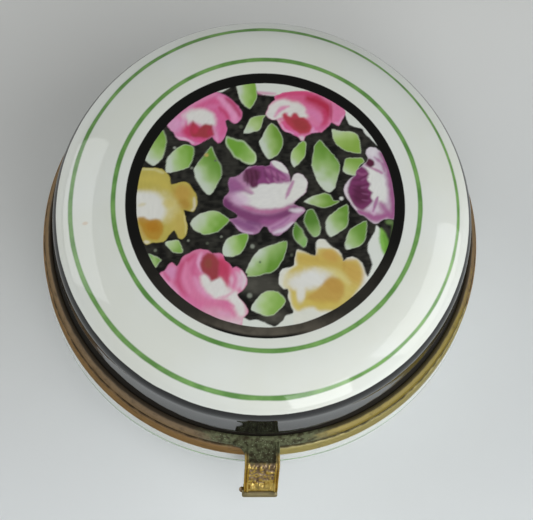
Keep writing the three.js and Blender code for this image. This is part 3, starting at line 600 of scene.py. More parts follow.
def paint_leaves(p):
    """The leaves, each given with the direction of its green side, and the specks beside them."""
    dark, darker = (98, 138, 54), (85, 126, 50)
    p.leaf([(-2.75, 12.9), (-2.3, 11.0), (-1.4, 10.05), (-0.6, 11.4), (-0.9, 13.1)], 0, deep=(121, 160, 67))
    p.leaf([(-2.05, 7.4), (-1.4, 8.9), (-0.7, 9.3), (0.25, 9.4), (0, 9.0), (-0.45, 7.75)], 30,
           deep=(133, 163, 85))
    p.leaf([(0.8, 8.55), (1.7, 7.5), (2.0, 6.6), (1.9, 5.9), (1.4, 5.1), (0.6, 4.6), (0.1, 5.0),
            (-0.4, 6.5)], 10)
    p.leaf([(4.0, 6.65), (4.35, 6.2), (4.1, 4.8), (3.1, 3.75), (2.75, 4.3), (2.75, 5.1), (3.2, 5.9)], 30,
           deep=(123, 160, 69), middle=-0.2)
    p.leaf([(5.7, 6.7), (5.15, 6.0), (4.85, 3.9), (5.4, 2.2), (6.0, 1.4), (6.6, 1.05), (7.2, 1.6),
            (7.75, 3.8), (7.4, 4.7), (6.1, 6.3)], 60, deep=dark)
    p.leaf([(7.0, 7.9), (8.0, 7.7), (9.0, 7.65), (9.7, 7.2), (9.85, 5.35), (8.2, 5.6), (7.4, 6.3),
            (7.05, 7.0)], -65, deep=(129, 160, 71), middle=-0.25)
    p.leaf([(8.3, 4.6), (9.0, 4.85), (9.9, 4.8), (10.25, 4.4), (9.7, 3.9), (9.25, 2.9), (8.0, 3.3)], 60,
           deep=(121, 155, 69), middle=-0.2)
    p.leaf([(4.0, 0), (4.9, 0.6), (6.1, 0.95), (6.7, 0.8), (7.0, 0.2), (7.55, 0.1), (6.7, -0.45),
            (5.9, -0.6)], -20, middle=-0.1)
    p.speck((7.8, 0.4), 0.2, (200, 202, 196))
    p.leaf([(3.1, -2.15), (3.8, -2.9), (4.25, -3.9), (4.2, -4.5), (3.9, -4.8), (3.2, -4.2), (2.8, -3.4)],
           150, pale=(120, 165, 90), deep=darker, middle=-0.3)
    p.leaf([(4.3, -0.9), (4.9, -0.75), (5.4, -1.6), (5.7, -2.7), (5.5, -3.4), (5.0, -3.7), (4.4, -3.0),
            (4.0, -2.0)], 90, pale=(150, 185, 125), deep=(83, 123, 49), middle=-0.5)
    p.leaf([(8.35, -0.15), (6.5, -1.5), (6.15, -2.3), (6.2, -3.1), (6.7, -3.7), (8.2, -2.7), (8.5, -1.8)],
           25, deep=dark)
    p.leaf([(10.3, -1.95), (8.7, -2.8), (8.1, -4.3), (8.3, -5.0), (9.7, -4.5), (10.2, -3.7)], 40, deep=dark,
           middle=-0.25)
    p.free_brush()
    p.fill([(11.7, -2.7), (12.1, -3.1), (12.4, -3.9), (12.5, -5.0), (12.1, -5.5), (11.7, -4.9),
            (11.5, -3.8)], (122, 168, 76), 0.2)
    p.stroke([(12.0, -3.3), (12.25, -4.4), (12.2, -5.1)], 0.35, (98, 148, 54), 0.9, 0.15)
    p.stroke([(12.5, -2.1), (13.0, -2.3), (13.0, -3.4), (12.7, -4.6)], 0.4, (92, 118, 66), 0.8, 0.2)
    p.glow((12.6, -2.0), 0.4, 0.25, (104, 128, 78), 0.7)
    p.leaf([(-3.75, 7.05), (-2.7, 6.7), (-2.0, 6.55), (-0.9, 5.3), (-0.7, 4.6), (-0.9, 4.1), (-1.6, 4.0),
            (-3.0, 4.8), (-3.85, 6.2)], 140, pale=(165, 200, 130), deep=(107, 151, 57), middle=-0.55,
           rim=0.3)
    p.leaf([(-5.4, 5.9), (-5.0, 5.2), (-4.3, 3.8), (-4.4, 2.5), (-5.5, 0.65), (-6.7, 2.1), (-7.05, 3.1),
            (-6.9, 3.8)], 35, deep=dark)
    p.speck((-5.8, 5.0), 0.2, (188, 160, 92), 0.8)
    p.leaf([(-9.9, 3.1), (-9.7, 4.8), (-8.5, 6.0), (-7.8, 6.15), (-7.15, 5.95), (-7.05, 5.2), (-7.6, 3.7)],
           10, deep=(111, 153, 59))
    p.leaf([(-10.3, 7.8), (-9.85, 6.4), (-10.3, 4.7), (-11.2, 3.85), (-12.1, 4.6), (-11.7, 5.5)], 45,
           deep=(115, 153, 63))
    p.leaf([(-7.4, -2.3), (-7.0, -1.7), (-6.3, -1.2), (-5.4, -1.0), (-4.5, -1.1), (-3.5, -1.95),
            (-4.5, -3.1), (-5.3, -3.4), (-6.2, -3.4), (-7.0, -3.0)], -30, deep=(111, 153, 61))
    p.leaf([(-1.75, -3.35), (-1.65, -3.9), (-1.9, -4.7), (-2.4, -5.4), (-3.1, -5.8), (-3.9, -5.75),
            (-4.15, -5.3), (-4.1, -4.5), (-3.7, -3.9), (-3.0, -3.55)], 10, deep=(111, 153, 61))
    p.leaf([(2.25, -4.15), (2.0, -5.8), (1.0, -7.3), (-1.0, -7.8), (-1.75, -7.85), (-1.9, -7.4),
            (-1.2, -5.8), (-0.5, -5.1), (0.5, -4.6)], -40, deep=dark)
    p.speck((-0.45, -6.35), 0.13, (95, 115, 80))
    p.speck((-1.85, -7.65), 0.16, (35, 34, 30))
    p.leaf([(-1.35, -11.25), (-1.1, -10.5), (0, -9.4), (1.3, -9.4), (2.1, -10.4), (1.1, -11.6),
            (0.5, -11.85), (-0.3, -11.75)], -10, deep=(127, 163, 79), middle=-0.1)
    p.leaf([(-9.9, -4.25), (-8.6, -4.1), (-8.15, -5.35), (-9.1, -5.35), (-9.6, -4.9)], -40,
           deep=(123, 157, 77), middle=-0.1)
    p.leaf([(-11.6, -5.45), (-11.0, -5.6), (-10.3, -6.1), (-10.6, -6.6), (-11.0, -6.85)], 0,
           pale=(120, 162, 90), deep=(115, 150, 75))


def paint_specks(p):
    """Bare specks and pale brush marks in the ground."""
    for x, y, size, tone in [(-9.05, 5.8, 0.14, 165), (-7.3, 3.6, 0.14, 120), (-1.2, -4.7, 0.22, 135),
                             (-7.6, -4.1, 0.13, 130), (-10.9, -5.1, 0.16, 110), (-4.3, -3.7, 0.13, 120),
                             (-5.7, -4.4, 0.15, 85), (-1.5, -9.8, 0.25, 130), (-4.9, 4.4, 0.12, 90),
                             (2.7, -5.6, 0.15, 80), (-2.3, 8.1, 0.2, 75), (-2.5, -12.05, 0.22, 120)]:
        p.speck((x, y), size, (tone, tone + 4, tone - 8), 0.85)


def paint_medallion(x, y):
    """The medallion's colour at each point, flowers last so that they lie over the leaves."""
    painting = Painting(x, y)
    for paint in (paint_ground, paint_bare_porcelain, paint_leaves, paint_specks, paint_pink_back_left,
                  paint_pink_back_right, paint_yellow_left, paint_purple_middle, paint_purple_right,
                  paint_pink_front_left, paint_yellow_front_right):
        paint(painting)
    return np.clip(painting.color / STUDIO_LIGHT, 0, 0.95)


# ---------------------------------------------------------------- meshes


def to_world(points):
    """Metres in the frame, from millimetres measured from the box's axis and the seam."""
    return (np.asarray(points, float).reshape(-1, 3) + (0, AXIS_Y, SEAM_Z)) * MM


def make_piece(name, solid, body, material, replaces, sharp=35):
    """A piece that rides on a body, takes the given material and stands for CAD nodes."""
    vertices, faces = solid.arrays()
    mesh = bpy.data.meshes.new(name)
    mesh.from_pydata(to_world(vertices).tolist(), [], faces)
    facing = bmesh.new()
    facing.from_mesh(mesh)
    bmesh.ops.recalc_face_normals(facing, faces=facing.faces)
    facing.to_mesh(mesh)
    facing.free()
    piece = bpy.data.objects.new(name, mesh)
    bpy.context.scene.collection.objects.link(piece)
    finish_mesh(piece, material, sharp)
    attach(piece, body)
    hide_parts(*replaces)
    return piece


def finish_mesh(piece, material, sharp):
    """Gives a piece its material, and smooth shading but for edges sharper than some degrees."""
    mesh = piece.data
    mesh.materials.clear()
    mesh.materials.append(material)
    mesh.polygons.foreach_set("use_smooth", [True] * len(mesh.polygons))
    mesh.set_sharp_from_angle(angle=math.radians(sharp))


def arc(centre_r, centre_z, wide, high, start, end, count):
    """count + 1 points on an ellipse, from start to end degrees."""
    angles = np.radians(np.linspace(start, end, count + 1))
    return [(centre_r + wide * math.cos(a), centre_z + high * math.sin(a)) for a in angles]


def angles_round(steps, shift=0.0):
    """Equally spaced angles all the way round, moved on by a share of a step."""
    return (np.arange(steps) + shift) * 2 * math.pi / steps


def ring(r, z, steps):
    """Points on a level circle about the axis."""
    angles = angles_round(steps)
    return np.stack([r * np.cos(angles), r * np.sin(angles), np.full(steps, z)], -1)


class Solid:
    """Vertices and faces, added row by row."""

    def __init__(self):
        self.vertices = []
        self.faces = []
        self.count = 0

    def row(self, points):
        """Adds points and returns their indexes."""
        self.vertices.append(np.asarray(points, float).reshape(-1, 3))
        start = self.count
        self.count += len(self.vertices[-1])
        return list(range(start, self.count))

    def bridge(self, a, b):
        """Faces between two closed rows: of one length, or one half as long, or a single point."""
        if len(a) == 1 or len(b) == 1:
            tip, loop = (a[0], b) if len(a) == 1 else (b[0], a)
            self.faces += [(tip, loop[i - 1], loop[i]) for i in range(len(loop))]
        elif len(a) == len(b):
            self.faces += [(a[i - 1], a[i], b[i], b[i - 1]) for i in range(len(a))]
        else:
            fine, coarse = (a, b) if len(a) > len(b) else (b, a)
            for i in range(len(coarse)):
                j = (i + 1) % len(coarse)
                first, middle, last = fine[2 * i], fine[2 * i + 1], fine[2 * j]
                self.faces += [(first, coarse[i], middle), (middle, coarse[i], coarse[j]),
                               (middle, coarse[j], last)]

    def turn(self, profile, steps, start=None):
        """Turns (radius, height) points about the axis, going on from the row start, if given."""
        previous = start
        for r, z in profile:
            current = self.row([[0, 0, z]] if r == 0 else ring(r, z, steps))
            if previous is not None:
                self.bridge(previous, current)
            previous = current
        return previous

    def arrays(self):
        return np.concatenate(self.vertices), self.faces


def closed_ring(profile, steps):
    """A ring of the closed profile."""
    solid = Solid()
    rows = [solid.row(ring(r, z, steps)) for r, z in profile]
    for index, row in enumerate(rows):
        solid.bridge(rows[index - 1], row)
    return solid


def add_attribute(piece, name, kind, values):
    """Stores a value at each point, for the material to read."""
    attribute = piece.data.attributes.new(name, kind, "POINT")
    field = "color" if kind == "FLOAT_COLOR" else "value"
    attribute.data.foreach_set(field, np.asarray(values, np.float32).ravel())


# ---------------------------------------------------------------- materials


class Tree:
    """A node tree, built by short calls."""

    def __init__(self, tree):
        self.tree = tree

    def add(self, kind, **values):
        node = self.tree.nodes.new(kind)
        for key, value in values.items():
            setattr(node, key, value)
        return node

    def feed(self, socket, value):
        """Links an output to an input, or sets the input's value."""
        if isinstance(value, bpy.types.NodeSocket):
            self.tree.links.new(value, socket)
        else:
            socket.default_value = value

    def ease(self, value, low, high, to_low=0.0, to_high=1.0):
        """value eased from low..high to to_low..to_high."""
        node = self.add("ShaderNodeMapRange", interpolation_type="SMOOTHSTEP")
        for index, item in enumerate((value, low, high, to_low, to_high)):
            self.feed(node.inputs[index], item)
        return node.outputs[0]


class Nodes(Tree):
    """A material's node tree."""

    def __init__(self, name):
        self.material = bpy.data.materials.new(name)
        self.material.use_nodes = True
        super().__init__(self.material.node_tree)
        self.shader = self.tree.nodes["Principled BSDF"]

    def math(self, operation, a, b=0.0):
        node = self.add("ShaderNodeMath", operation=operation)
        self.feed(node.inputs[0], a)
        self.feed(node.inputs[1], b)
        return node.outputs[0]

    def plus(self, a, b):
        return self.math("ADD", a, b)

    def minus(self, a, b):
        return self.math("SUBTRACT", a, b)

    def times(self, a, b):
        return self.math("MULTIPLY", a, b)

    def mix(self, factor, a, b, blend="MIX"):
        node = self.add("ShaderNodeMix", data_type="RGBA", blend_type=blend)
        self.feed(node.inputs[0], factor)
        self.feed(node.inputs[6], a)
        self.feed(node.inputs[7], b)
        return node.outputs[2]

    def noise(self, vector, size, detail=3.0):
        """Noise from 0 to 1 whose blotches are about size millimetres across."""
        node = self.add("ShaderNodeTexNoise")
        self.feed(node.inputs["Vector"], vector)
        node.inputs["Scale"].default_value = 1 / size
        node.inputs["Detail"].default_value = detail
        return node.outputs["Fac"]

    def cells(self, vector, size):
        """Distance to the nearest of scattered points about size millimetres apart."""
        node = self.add("ShaderNodeTexVoronoi")
        self.feed(node.inputs["Vector"], vector)
        node.inputs["Scale"].default_value = 1 / size
        return node.outputs["Distance"]

    def place(self):
        """The point in millimetres from the box's axis and the seam."""
        scaled = self.add("ShaderNodeVectorMath", operation="SCALE")
        self.feed(scaled.inputs[0], self.add("ShaderNodeTexCoord").outputs["Object"])
        scaled.inputs["Scale"].default_value = 1 / MM
        moved = self.add("ShaderNodeVectorMath", operation="SUBTRACT")
        self.feed(moved.inputs[0], scaled.outputs[0])
        moved.inputs[1].default_value = (0, AXIS_Y, SEAM_Z)
        return moved.outputs[0]

    def split(self, vector):
        node = self.add("ShaderNodeSeparateXYZ")
        self.feed(node.inputs[0], vector)
        return node.outputs

    def join(self, x, y, z):
        node = self.add("ShaderNodeCombineXYZ")
        for socket, value in zip(node.inputs, (x, y, z)):
            self.feed(socket, value)
        return node.outputs[0]

    def length(self, x, y):
        return self.math("SQRT", self.plus(self.times(x, x), self.times(y, y)))

    def radius(self, vector, middle_x=0.0, middle_y=0.0):
        """Distance in plan from a middle near the axis."""
        x, y, _ = self.split(vector)
        return self.length(self.minus(x, middle_x), self.minus(y, middle_y))

    def away(self, vector, x, y, wide, high):
        """Distance in plan from x, y, in units of wide and high."""
        px, py, _ = self.split(vector)
        dx = self.times(self.minus(px, x), 1 / wide)
        dy = self.times(self.minus(py, y), 1 / high)
        return self.length(dx, dy)

    def bump(self, height, strength, distance):
        """A bump of the given height in millimetres."""
        node = self.add("ShaderNodeBump")
        node.inputs["Strength"].default_value = strength
        node.inputs["Distance"].default_value = distance * MM
        self.feed(node.inputs["Height"], height)
        self.feed(self.shader.inputs["Normal"], node.outputs[0])

    def set(self, **values):
        """Feeds the shader's inputs, under short names."""
        names = {"color": "Base Color", "roughness": "Roughness", "metallic": "Metallic", "ior": "IOR",
                 "gloss": "Specular IOR Level", "edge": "Specular Tint"}
        for key, value in values.items():
            self.feed(self.shader.inputs[names[key]], value)


WHITE_GLAZE = rgba(222, 224, 218)
# The bowl's white, painted a little darker than the lid's as shade.
BOWL_GLAZE_SHADED = rgba(209, 212, 209)
BLACK_GLAZE = rgba(12, 11, 13)
LINE_DEEP = rgba(78, 131, 48)
LINE_PALE = rgba(118, 166, 84)
GLAZE_IOR = 1.5
GLAZE_ROUGH = 0.035


def centred(nodes, where, size, amount):
    """Noise from -amount to amount."""
    return nodes.times(nodes.minus(nodes.noise(where, size), 0.5), 2 * amount)


def lay_line(nodes, color, where, value, middle, thin=0.0):
    """A hand-painted green line over color where value is near middle, narrower by twice thin."""
    drift = centred(nodes, where, 6.0, 0.07)
    off = nodes.minus(value, nodes.plus(drift, middle))
    half = nodes.minus(nodes.plus(centred(nodes, where, 3.0, 0.05), LINE_WIDE / 2), thin)
    cover = nodes.ease(nodes.minus(nodes.math("ABSOLUTE", off), half), 0.10, -0.07)
    ragged = nodes.plus(nodes.math("ABSOLUTE", off), centred(nodes, where, 1.0, 0.12))
    streak = nodes.ease(ragged, 0.02, 0.2)
    green = nodes.mix(nodes.times(streak, 0.35), LINE_PALE, LINE_DEEP)
    green = nodes.mix(nodes.ease(nodes.noise(where, 2.2), 0.3, 0.7), LINE_DEEP, green)
    return nodes.mix(nodes.times(cover, 0.95), color, green)


def glaze_surface(nodes, where, color, darkening, shine=0.5):
    """The glaze's gloss, faint waviness and pinholes, over color, and painted shade along a bezel where
    darkening is given.
    """
    pits = nodes.ease(nodes.cells(where, 8.5), 0.014, 0.007)
    color = nodes.mix(nodes.times(pits, 0.55), color, rgba(96, 84, 74))
    tint = nodes.ease(nodes.noise(where, 9.0), 0.35, 0.65)
    color = nodes.mix(nodes.times(tint, 0.6), color, rgba(251, 250, 244), "MULTIPLY")
    # Painted shade: darker and less glossy where darkening is given.
    color = nodes.mix(nodes.times(darkening, 0.8), color, GRIME_AND_SHADE)
    gloss = nodes.ease(nodes.noise(where, 2.5), 0.3, 0.7, GLAZE_ROUGH, GLAZE_ROUGH + 0.02)
    nodes.set(color=color, ior=GLAZE_IOR, gloss=nodes.times(shine, nodes.ease(darkening, 0.0, 1.0, 1.0, 0.1)))
    nodes.set(roughness=nodes.math("MAXIMUM", gloss, nodes.times(darkening, 0.8)))
    wave = nodes.plus(nodes.noise(where, 3.2, 1.0), nodes.times(nodes.noise(where, 0.45, 1.0), 0.07))
    nodes.bump(nodes.minus(wave, nodes.times(pits, 0.5)), 0.5, 0.06)


def banded_porcelain(nodes, where, x, z, r):
    """The lid outside its medallion, white with two green lines and a black band, and the band's cover."""
    rim = nodes.plus(float(lid_height(BAND_TOP_R)), centred(nodes, where, 4.0, 0.10))
    inner_r = nodes.radius(where, INNER_LINE_X, INNER_LINE_Y)
    lines = lay_line(nodes, WHITE_GLAZE, where, inner_r, INNER_LINE_R)
    lines = lay_line(nodes, lines, where, r, OUTER_LINE_R, nodes.ease(x, 0.0, 12.0, 0.0, 0.08))
    band = nodes.ease(nodes.minus(z, rim), 0.06, -0.05)
    return nodes.mix(band, lines, BLACK_GLAZE), band


def ring_wear_and_sheen(nodes, where, x, y, r):
    """The black ring's colour: grey at the front from wear and a painted reflection, where only its outer
    edge stays black.
    """
    # Grey towards the front: wear, and a painted reflection of light on the black ring.
    wear_and_sheen = nodes.plus(nodes.ease(y, -3.0, -11.0, 0.0, 0.22), nodes.ease(y, -11.0, -14.3, 0.0, 0.85))
    wear_and_sheen = nodes.times(wear_and_sheen, nodes.ease(nodes.noise(where, 1.3), 0.25, 0.6, 0.6, 1.0))
    middle = nodes.ease(nodes.math("ABSOLUTE", nodes.plus(x, 1.0)), 6.5, 3.0)
    kept = nodes.times(middle, nodes.times(nodes.ease(r, 13.7, 14.0), nodes.ease(y, 0.0, -5.0)))
    wear_and_sheen = nodes.minus(wear_and_sheen, nodes.times(wear_and_sheen, kept))
    return nodes.mix(wear_and_sheen, rgba(*GROUND_BLACK), rgba(*RING_WORN_SHEEN))


def lid_glaze():
    """The lid's glaze: the painting in its ring, the bands round it, and plain white inside the lid."""
    nodes = Nodes("lid_glaze")
    where = nodes.place()
    x, y, z = nodes.split(where)
    r = nodes.radius(where, BANDS_X, BANDS_Y)
    paint = nodes.add("ShaderNodeAttribute", attribute_name="paint").outputs["Color"]
    outside = nodes.add("ShaderNodeAttribute", attribute_name="outside").outputs["Fac"]
    outer, band = banded_porcelain(nodes, where, x, z, r)

    inner_edge = nodes.plus(nodes.plus(nodes.times(nodes.math("MAXIMUM", x, 0.0), 0.006), RING_INNER_R),
                            centred(nodes, where, 2.0, 0.05))
    outer_edge = nodes.plus(centred(nodes, where, 3.0, 0.04), RING_OUTER_R)
    ring_black = ring_wear_and_sheen(nodes, where, x, y, r)
    color = nodes.mix(nodes.ease(nodes.minus(r, inner_edge), -0.05, 0.05), paint, ring_black)
    color = nodes.mix(nodes.ease(nodes.minus(r, outer_edge), -0.05, 0.05), color, outer)
    color = nodes.mix(outside, WHITE_GLAZE, color)

    stain = nodes.ease(nodes.away(where, -18.0, -2.0, 0.35, 0.22), 1.2, 0.4)
    color = nodes.mix(nodes.times(stain, 0.35), color, rgba(206, 160, 110))
    # Painted shade on the black wall just above the lid bezel, reaching higher at the sides.
    shade_height = nodes.plus(nodes.times(nodes.math("ABSOLUTE", x), -0.12), centred(nodes, where, 1.6, 0.25))
    low = nodes.ease(nodes.plus(z, shade_height), LID_BEZEL_TOP + 0.7, LID_BEZEL_TOP + 0.3)
    darkening = nodes.times(low, nodes.math("GREATER_THAN", r, LID_WALL_R - 1))
    glaze_surface(nodes, where, color, darkening, nodes.ease(band, 0.0, 1.0, 0.5, 0.38))
    return nodes.material


def base_glaze():
    """The bowl's glaze, painted a little darker than the lid's as shade: one green line on the wall, a bare
    foot, and painted shade under the bezel.
    """
    nodes = Nodes("base_glaze")
    where = nodes.place()
    _, _, z = nodes.split(where)
    r = nodes.radius(where)
    painted = lay_line(nodes, BOWL_GLAZE_SHADED, where, z, BASE_LINE_Z)
    on_wall = nodes.math("GREATER_THAN", r, (BOWL_WALL_R + BOWL_INNER_R) / 2)
    color = nodes.mix(on_wall, BOWL_GLAZE_SHADED, painted)
    bare = nodes.ease(nodes.plus(z, centred(nodes, where, 1.5, 0.1)), TABLE + 0.3, TABLE + 0.15)
    color = nodes.mix(bare, color, rgba(214, 206, 188))
    # Painted shade on the bowl just under the base bezel.
    shade_height = nodes.plus(z, centred(nodes, where, 1.2, 0.2))
    high = nodes.ease(shade_height, BASE_BEZEL_BOTTOM - 0.4, BASE_BEZEL_BOTTOM, 0, 0.5)
    glaze_surface(nodes, where, color, nodes.times(high, on_wall))
    return nodes.material


BRASS_DARK = rgba(118, 100, 82)
BRASS_BROWN = rgba(155, 133, 107)
BRASS_RED = rgba(166, 133, 94)
BRASS_GOLD = rgba(196, 168, 96)
BRASS_PALE = rgba(194, 181, 128)
BRASS_YELLOW = rgba(176, 158, 100)
# Olive of the painted shade on the strap's lower end and curl.
BRASS_OLIVE_SHADE = rgba(140, 130, 94)
CRUST_DARK = rgba(52, 47, 34)
CRUST_GREEN = rgba(96, 100, 74)
CRUST_GRAIN = rgba(142, 150, 120)
# Dark of dirt on the brass, and of painted shade along the bezels and on the porcelain beside them.
GRIME_AND_SHADE = rgba(34, 30, 24)
EDGE_SHEEN = rgba(235, 225, 205)


def green_crust(nodes, where, x, y, amount):
    """The crust round the clasp's root: its cover, the cover of its pale grains, and its colour."""
    reach = nodes.ease(nodes.away(where, 0.3, -22.7, 9.0, 4.0), 1.3, 0.3)
    crust = nodes.plus(nodes.times(reach, 0.9), nodes.times(nodes.noise(where, 0.8, 4.0), 0.5))
    crust = nodes.ease(crust, 0.5, 1.05)
    crust = nodes.times(crust, nodes.ease(y, CRUST_END - 0.2, CRUST_END + 0.2, 0.0, amount))
    brighter = nodes.ease(nodes.math("ABSOLUTE", x), STRAP_HALF - 0.5, STRAP_HALF - 0.15, 0.0, 0.75)
    brighter = nodes.times(brighter, nodes.ease(y, -23.5, -24.1))
    crust = nodes.minus(crust, nodes.times(crust, brighter))
    grains = nodes.times(nodes.ease(nodes.cells(where, 0.28), 0.30, 0.16), crust)
    grains = nodes.times(grains, nodes.ease(nodes.noise(where, 1.1), 0.42, 0.6))
    outward = nodes.ease(y, -24.6, -23.2, -0.16, 0.0)
    hue = nodes.ease(nodes.plus(nodes.noise(where, 0.5, 3.0), outward), 0.28, 0.66)
    hue = nodes.mix(hue, CRUST_DARK, CRUST_GREEN)
    return crust, grains, nodes.mix(nodes.times(grains, 0.8), hue, CRUST_GRAIN)


def aged_brass(name, shine=0.5, gold_right=0.0, right_color=None, green=0.0, darkening=0.3, red=0.0,
               dirt_and_shade_edges=(), shaded_below=None):
    """Old brass: brown in the hollows, brighter gold on the right and in front, green by the clasp."""
    nodes = Nodes(name)
    where = nodes.place()
    x, y, z = nodes.split(where)
    r = nodes.radius(where)
    turn = nodes.math("ARCTAN2", y, x)
    along = nodes.join(nodes.times(turn, 6.0), nodes.times(r, 3.0), nodes.times(z, 3.0))
    streaks = nodes.noise(along, 1.6, 4.0)
    blotch = nodes.noise(where, 2.6, 4.0)
    fine = nodes.noise(where, 0.35, 3.0)
    tone = nodes.plus(nodes.times(streaks, 0.5), nodes.times(blotch, 0.5))
    tone = nodes.plus(tone, nodes.times(nodes.minus(fine, 0.5), 0.35))
    raised = nodes.add("ShaderNodeAttribute", attribute_name="raised").outputs["Fac"]
    tone = nodes.plus(tone, nodes.times(raised, 0.3))
    if gold_right:
        # Brighter gold towards the right front, by the given amount.
        brighter = nodes.ease(nodes.minus(nodes.times(x, 1.6), y), 20.0, 26.0)
        brighter = nodes.times(brighter, nodes.ease(y, 0.0, -16.0))
        tone = nodes.plus(tone, nodes.times(brighter, gold_right))
    gold = nodes.ease(tone, 0.62 - shine * 0.3, 0.85 - shine * 0.3)
    brown = nodes.ease(tone, 0.18, 0.5)
    warm = nodes.mix(red, BRASS_BROWN, BRASS_RED)
    color = nodes.mix(gold, nodes.mix(brown, BRASS_DARK, warm), right_color or BRASS_GOLD)
    # Painted shade: olive below the given height, on the strap's lower end and curl.
    if shaded_below is not None:
        low = nodes.ease(nodes.plus(z, centred(nodes, where, 0.8, 0.2)), shaded_below + 0.2, shaded_below - 0.2)
        color = nodes.mix(nodes.times(low, 0.8), color, BRASS_OLIVE_SHADE)
    rough = nodes.ease(gold, 0.0, 1.0, 0.48, 0.30)
    dirt_and_shade = nodes.times(nodes.ease(nodes.noise(where, 0.9, 4.0), 0.62 - darkening * 0.2, 0.75), darkening)
    # Dirt and painted shade along the given heights, where the bezels meet the porcelain and each other.
    for plain_z, dark_z in dirt_and_shade_edges:
        seen = nodes.plus(z, centred(nodes, where, 1.0, 0.12))
        dirt_and_shade = nodes.math("MAXIMUM", dirt_and_shade, nodes.ease(seen, plain_z, dark_z, 0.0, 0.9))
    color = nodes.mix(dirt_and_shade, color, GRIME_AND_SHADE)
    metal = nodes.ease(dirt_and_shade, 0.0, 1.0, 1.0, 0.3)
    rough = nodes.math("MAXIMUM", rough, nodes.times(dirt_and_shade, 0.8))
    height = nodes.plus(nodes.times(fine, 0.3), nodes.times(nodes.noise(where, 1.2), 0.7))
    if green:
        crust, grains, hue = green_crust(nodes, where, x, y, green)
        color = nodes.mix(crust, color, hue)
        metal = nodes.times(metal, nodes.ease(crust, 0.0, 1.0, 1.0, 0.05))
        rough = nodes.math("MAXIMUM", rough, nodes.times(crust, 0.85))
        height = nodes.plus(height, nodes.times(grains, 1.2))
    nodes.set(color=color, metallic=metal, roughness=rough, edge=nodes.mix(0.3, color, EDGE_SHEEN))
    nodes.bump(height, 0.6, 0.05)
    return nodes.material


def lid_bezel_brass():
    return aged_brass("lid_bezel_brass", shine=0.0, gold_right=0.5, right_color=BRASS_YELLOW, green=1.0,
                      darkening=0.5, dirt_and_shade_edges=((1.15, 1.5), (0.24, 0.1)))


def base_bezel_brass():
    return aged_brass("base_bezel_brass", shine=0.1, gold_right=0.55, right_color=BRASS_PALE, darkening=0.35,
                      red=0.7, dirt_and_shade_edges=((-0.32, -0.12), (-2.75, -3.0)))


def cement():
    nodes = Nodes("plaster_cement")
    where = nodes.place()
    tone = nodes.noise(where, 0.5, 4.0)
    color = nodes.mix(nodes.ease(tone, 0.3, 0.7), rgba(70, 62, 50), rgba(150, 140, 118))
    nodes.set(color=color, roughness=0.9)
    nodes.bump(tone, 0.8, 0.1)
    return nodes.material


# ---------------------------------------------------------------- the porcelain


def disc_grid(cells, radius):
    """A square grid pressed into a disc: x and y of each point, its faces and its rim in order."""
    a, b = np.meshgrid(*[np.linspace(-1, 1, cells + 1)] * 2, indexing="ij")
    a, b = a.ravel(), b.ravel()
    wide = np.abs(a) > np.abs(b)
    reach = np.where(wide, a, b)
    ratio = np.divide(np.where(wide, b, a), reach, out=np.zeros_like(a), where=reach != 0)
    swing = math.pi / 4 * ratio
    angle = np.where(wide, swing, math.pi / 2 - swing)
    x, y = radius * reach * np.cos(angle), radius * reach * np.sin(angle)
    at = np.arange((cells + 1) ** 2).reshape(cells + 1, cells + 1)
    faces = np.stack([at[:-1, :-1], at[1:, :-1], at[1:, 1:], at[:-1, 1:]], -1).reshape(-1, 4)
    rim = np.flatnonzero(np.maximum(np.abs(a), np.abs(b)) > 1 - 1e-9)
    turn = np.arctan2(y[rim], x[rim])
    rim = rim[np.argsort(np.where(turn < -1e-9, turn + 2 * math.pi, turn))]
    return x, y, faces.tolist(), rim.tolist()


def lid_outer_profile():
    """The lid's outside from the top of its shoulder down to its rim, leaning out at the bezel."""
    shoulder_r = LID_WALL_R - LID_SHOULDER_WIDE
    turns = np.radians(np.linspace(0, 90, 29))
    profile = [(r, float(lid_height(r))) for r in shoulder_r + LID_SHOULDER_WIDE * np.sin(turns)]
    profile += [(LID_WALL_R + LID_FLARE * t ** 1.3, LID_FLARE_TOP + (LID_BEZEL_TOP - LID_FLARE_TOP) * t)
                for t in np.linspace(0, 1, 9)]
    return [*profile, (LID_WALL_R + LID_FLARE, LID_RIM)]


def lid_inner_profile():
    """The lid's rim and inside, in to the middle."""
    inner_r = LID_WALL_R - LID_THICK
    inner_top = LID_TOP - LID_THICK
    turns = np.radians(np.linspace(90, 0, 15))
    radii = inner_r - LID_INNER_SHOULDER_WIDE * (1 - np.sin(turns))
    size = (inner_top, inner_r, LID_INNER_SHOULDER_WIDE, LID_INNER_SHOULDER_HIGH)
    shoulder = [(r, float(lid_height(r, *size))) for r in radii]
    crown = [(r, inner_top - LID_CROWN * r * r) for r in (9, 5, 2)]
    return [(LID_WALL_R, LID_RIM - 0.02), (inner_r, LID_RIM), *shoulder, *crown, (0, inner_top)]


def build_lid(material):
    """The lid: a fine grid under the painting, then rows turned about the axis."""
    x, y, faces, rim = disc_grid(MEDALLION_CELLS, MEDALLION_R)
    solid = Solid()
    solid.row(np.stack([x, y, lid_height(np.hypot(x, y))], -1))
    solid.faces = [tuple(face) for face in faces]
    row = rim
    for steps, r in ((2 * MEDALLION_CELLS, 13.66), (MEDALLION_CELLS, 13.85)):
        following = solid.row(ring(r, float(lid_height(r)), steps))
        solid.bridge(row, following)
        row = following
    row = solid.turn(lid_outer_profile(), ROUND_STEPS, row)
    outside = solid.count
    solid.turn(lid_inner_profile(), ROUND_STEPS, row)
    piece = make_piece("lid_porcelain", solid, "lid", material, ["lid_dome"], 50)
    paint = np.ones((solid.count, 4))
    paint[:len(x), :3] = paint_medallion(x, y)
    add_attribute(piece, "paint", "FLOAT_COLOR", paint)
    add_attribute(piece, "outside", "FLOAT", np.arange(solid.count) < outside)


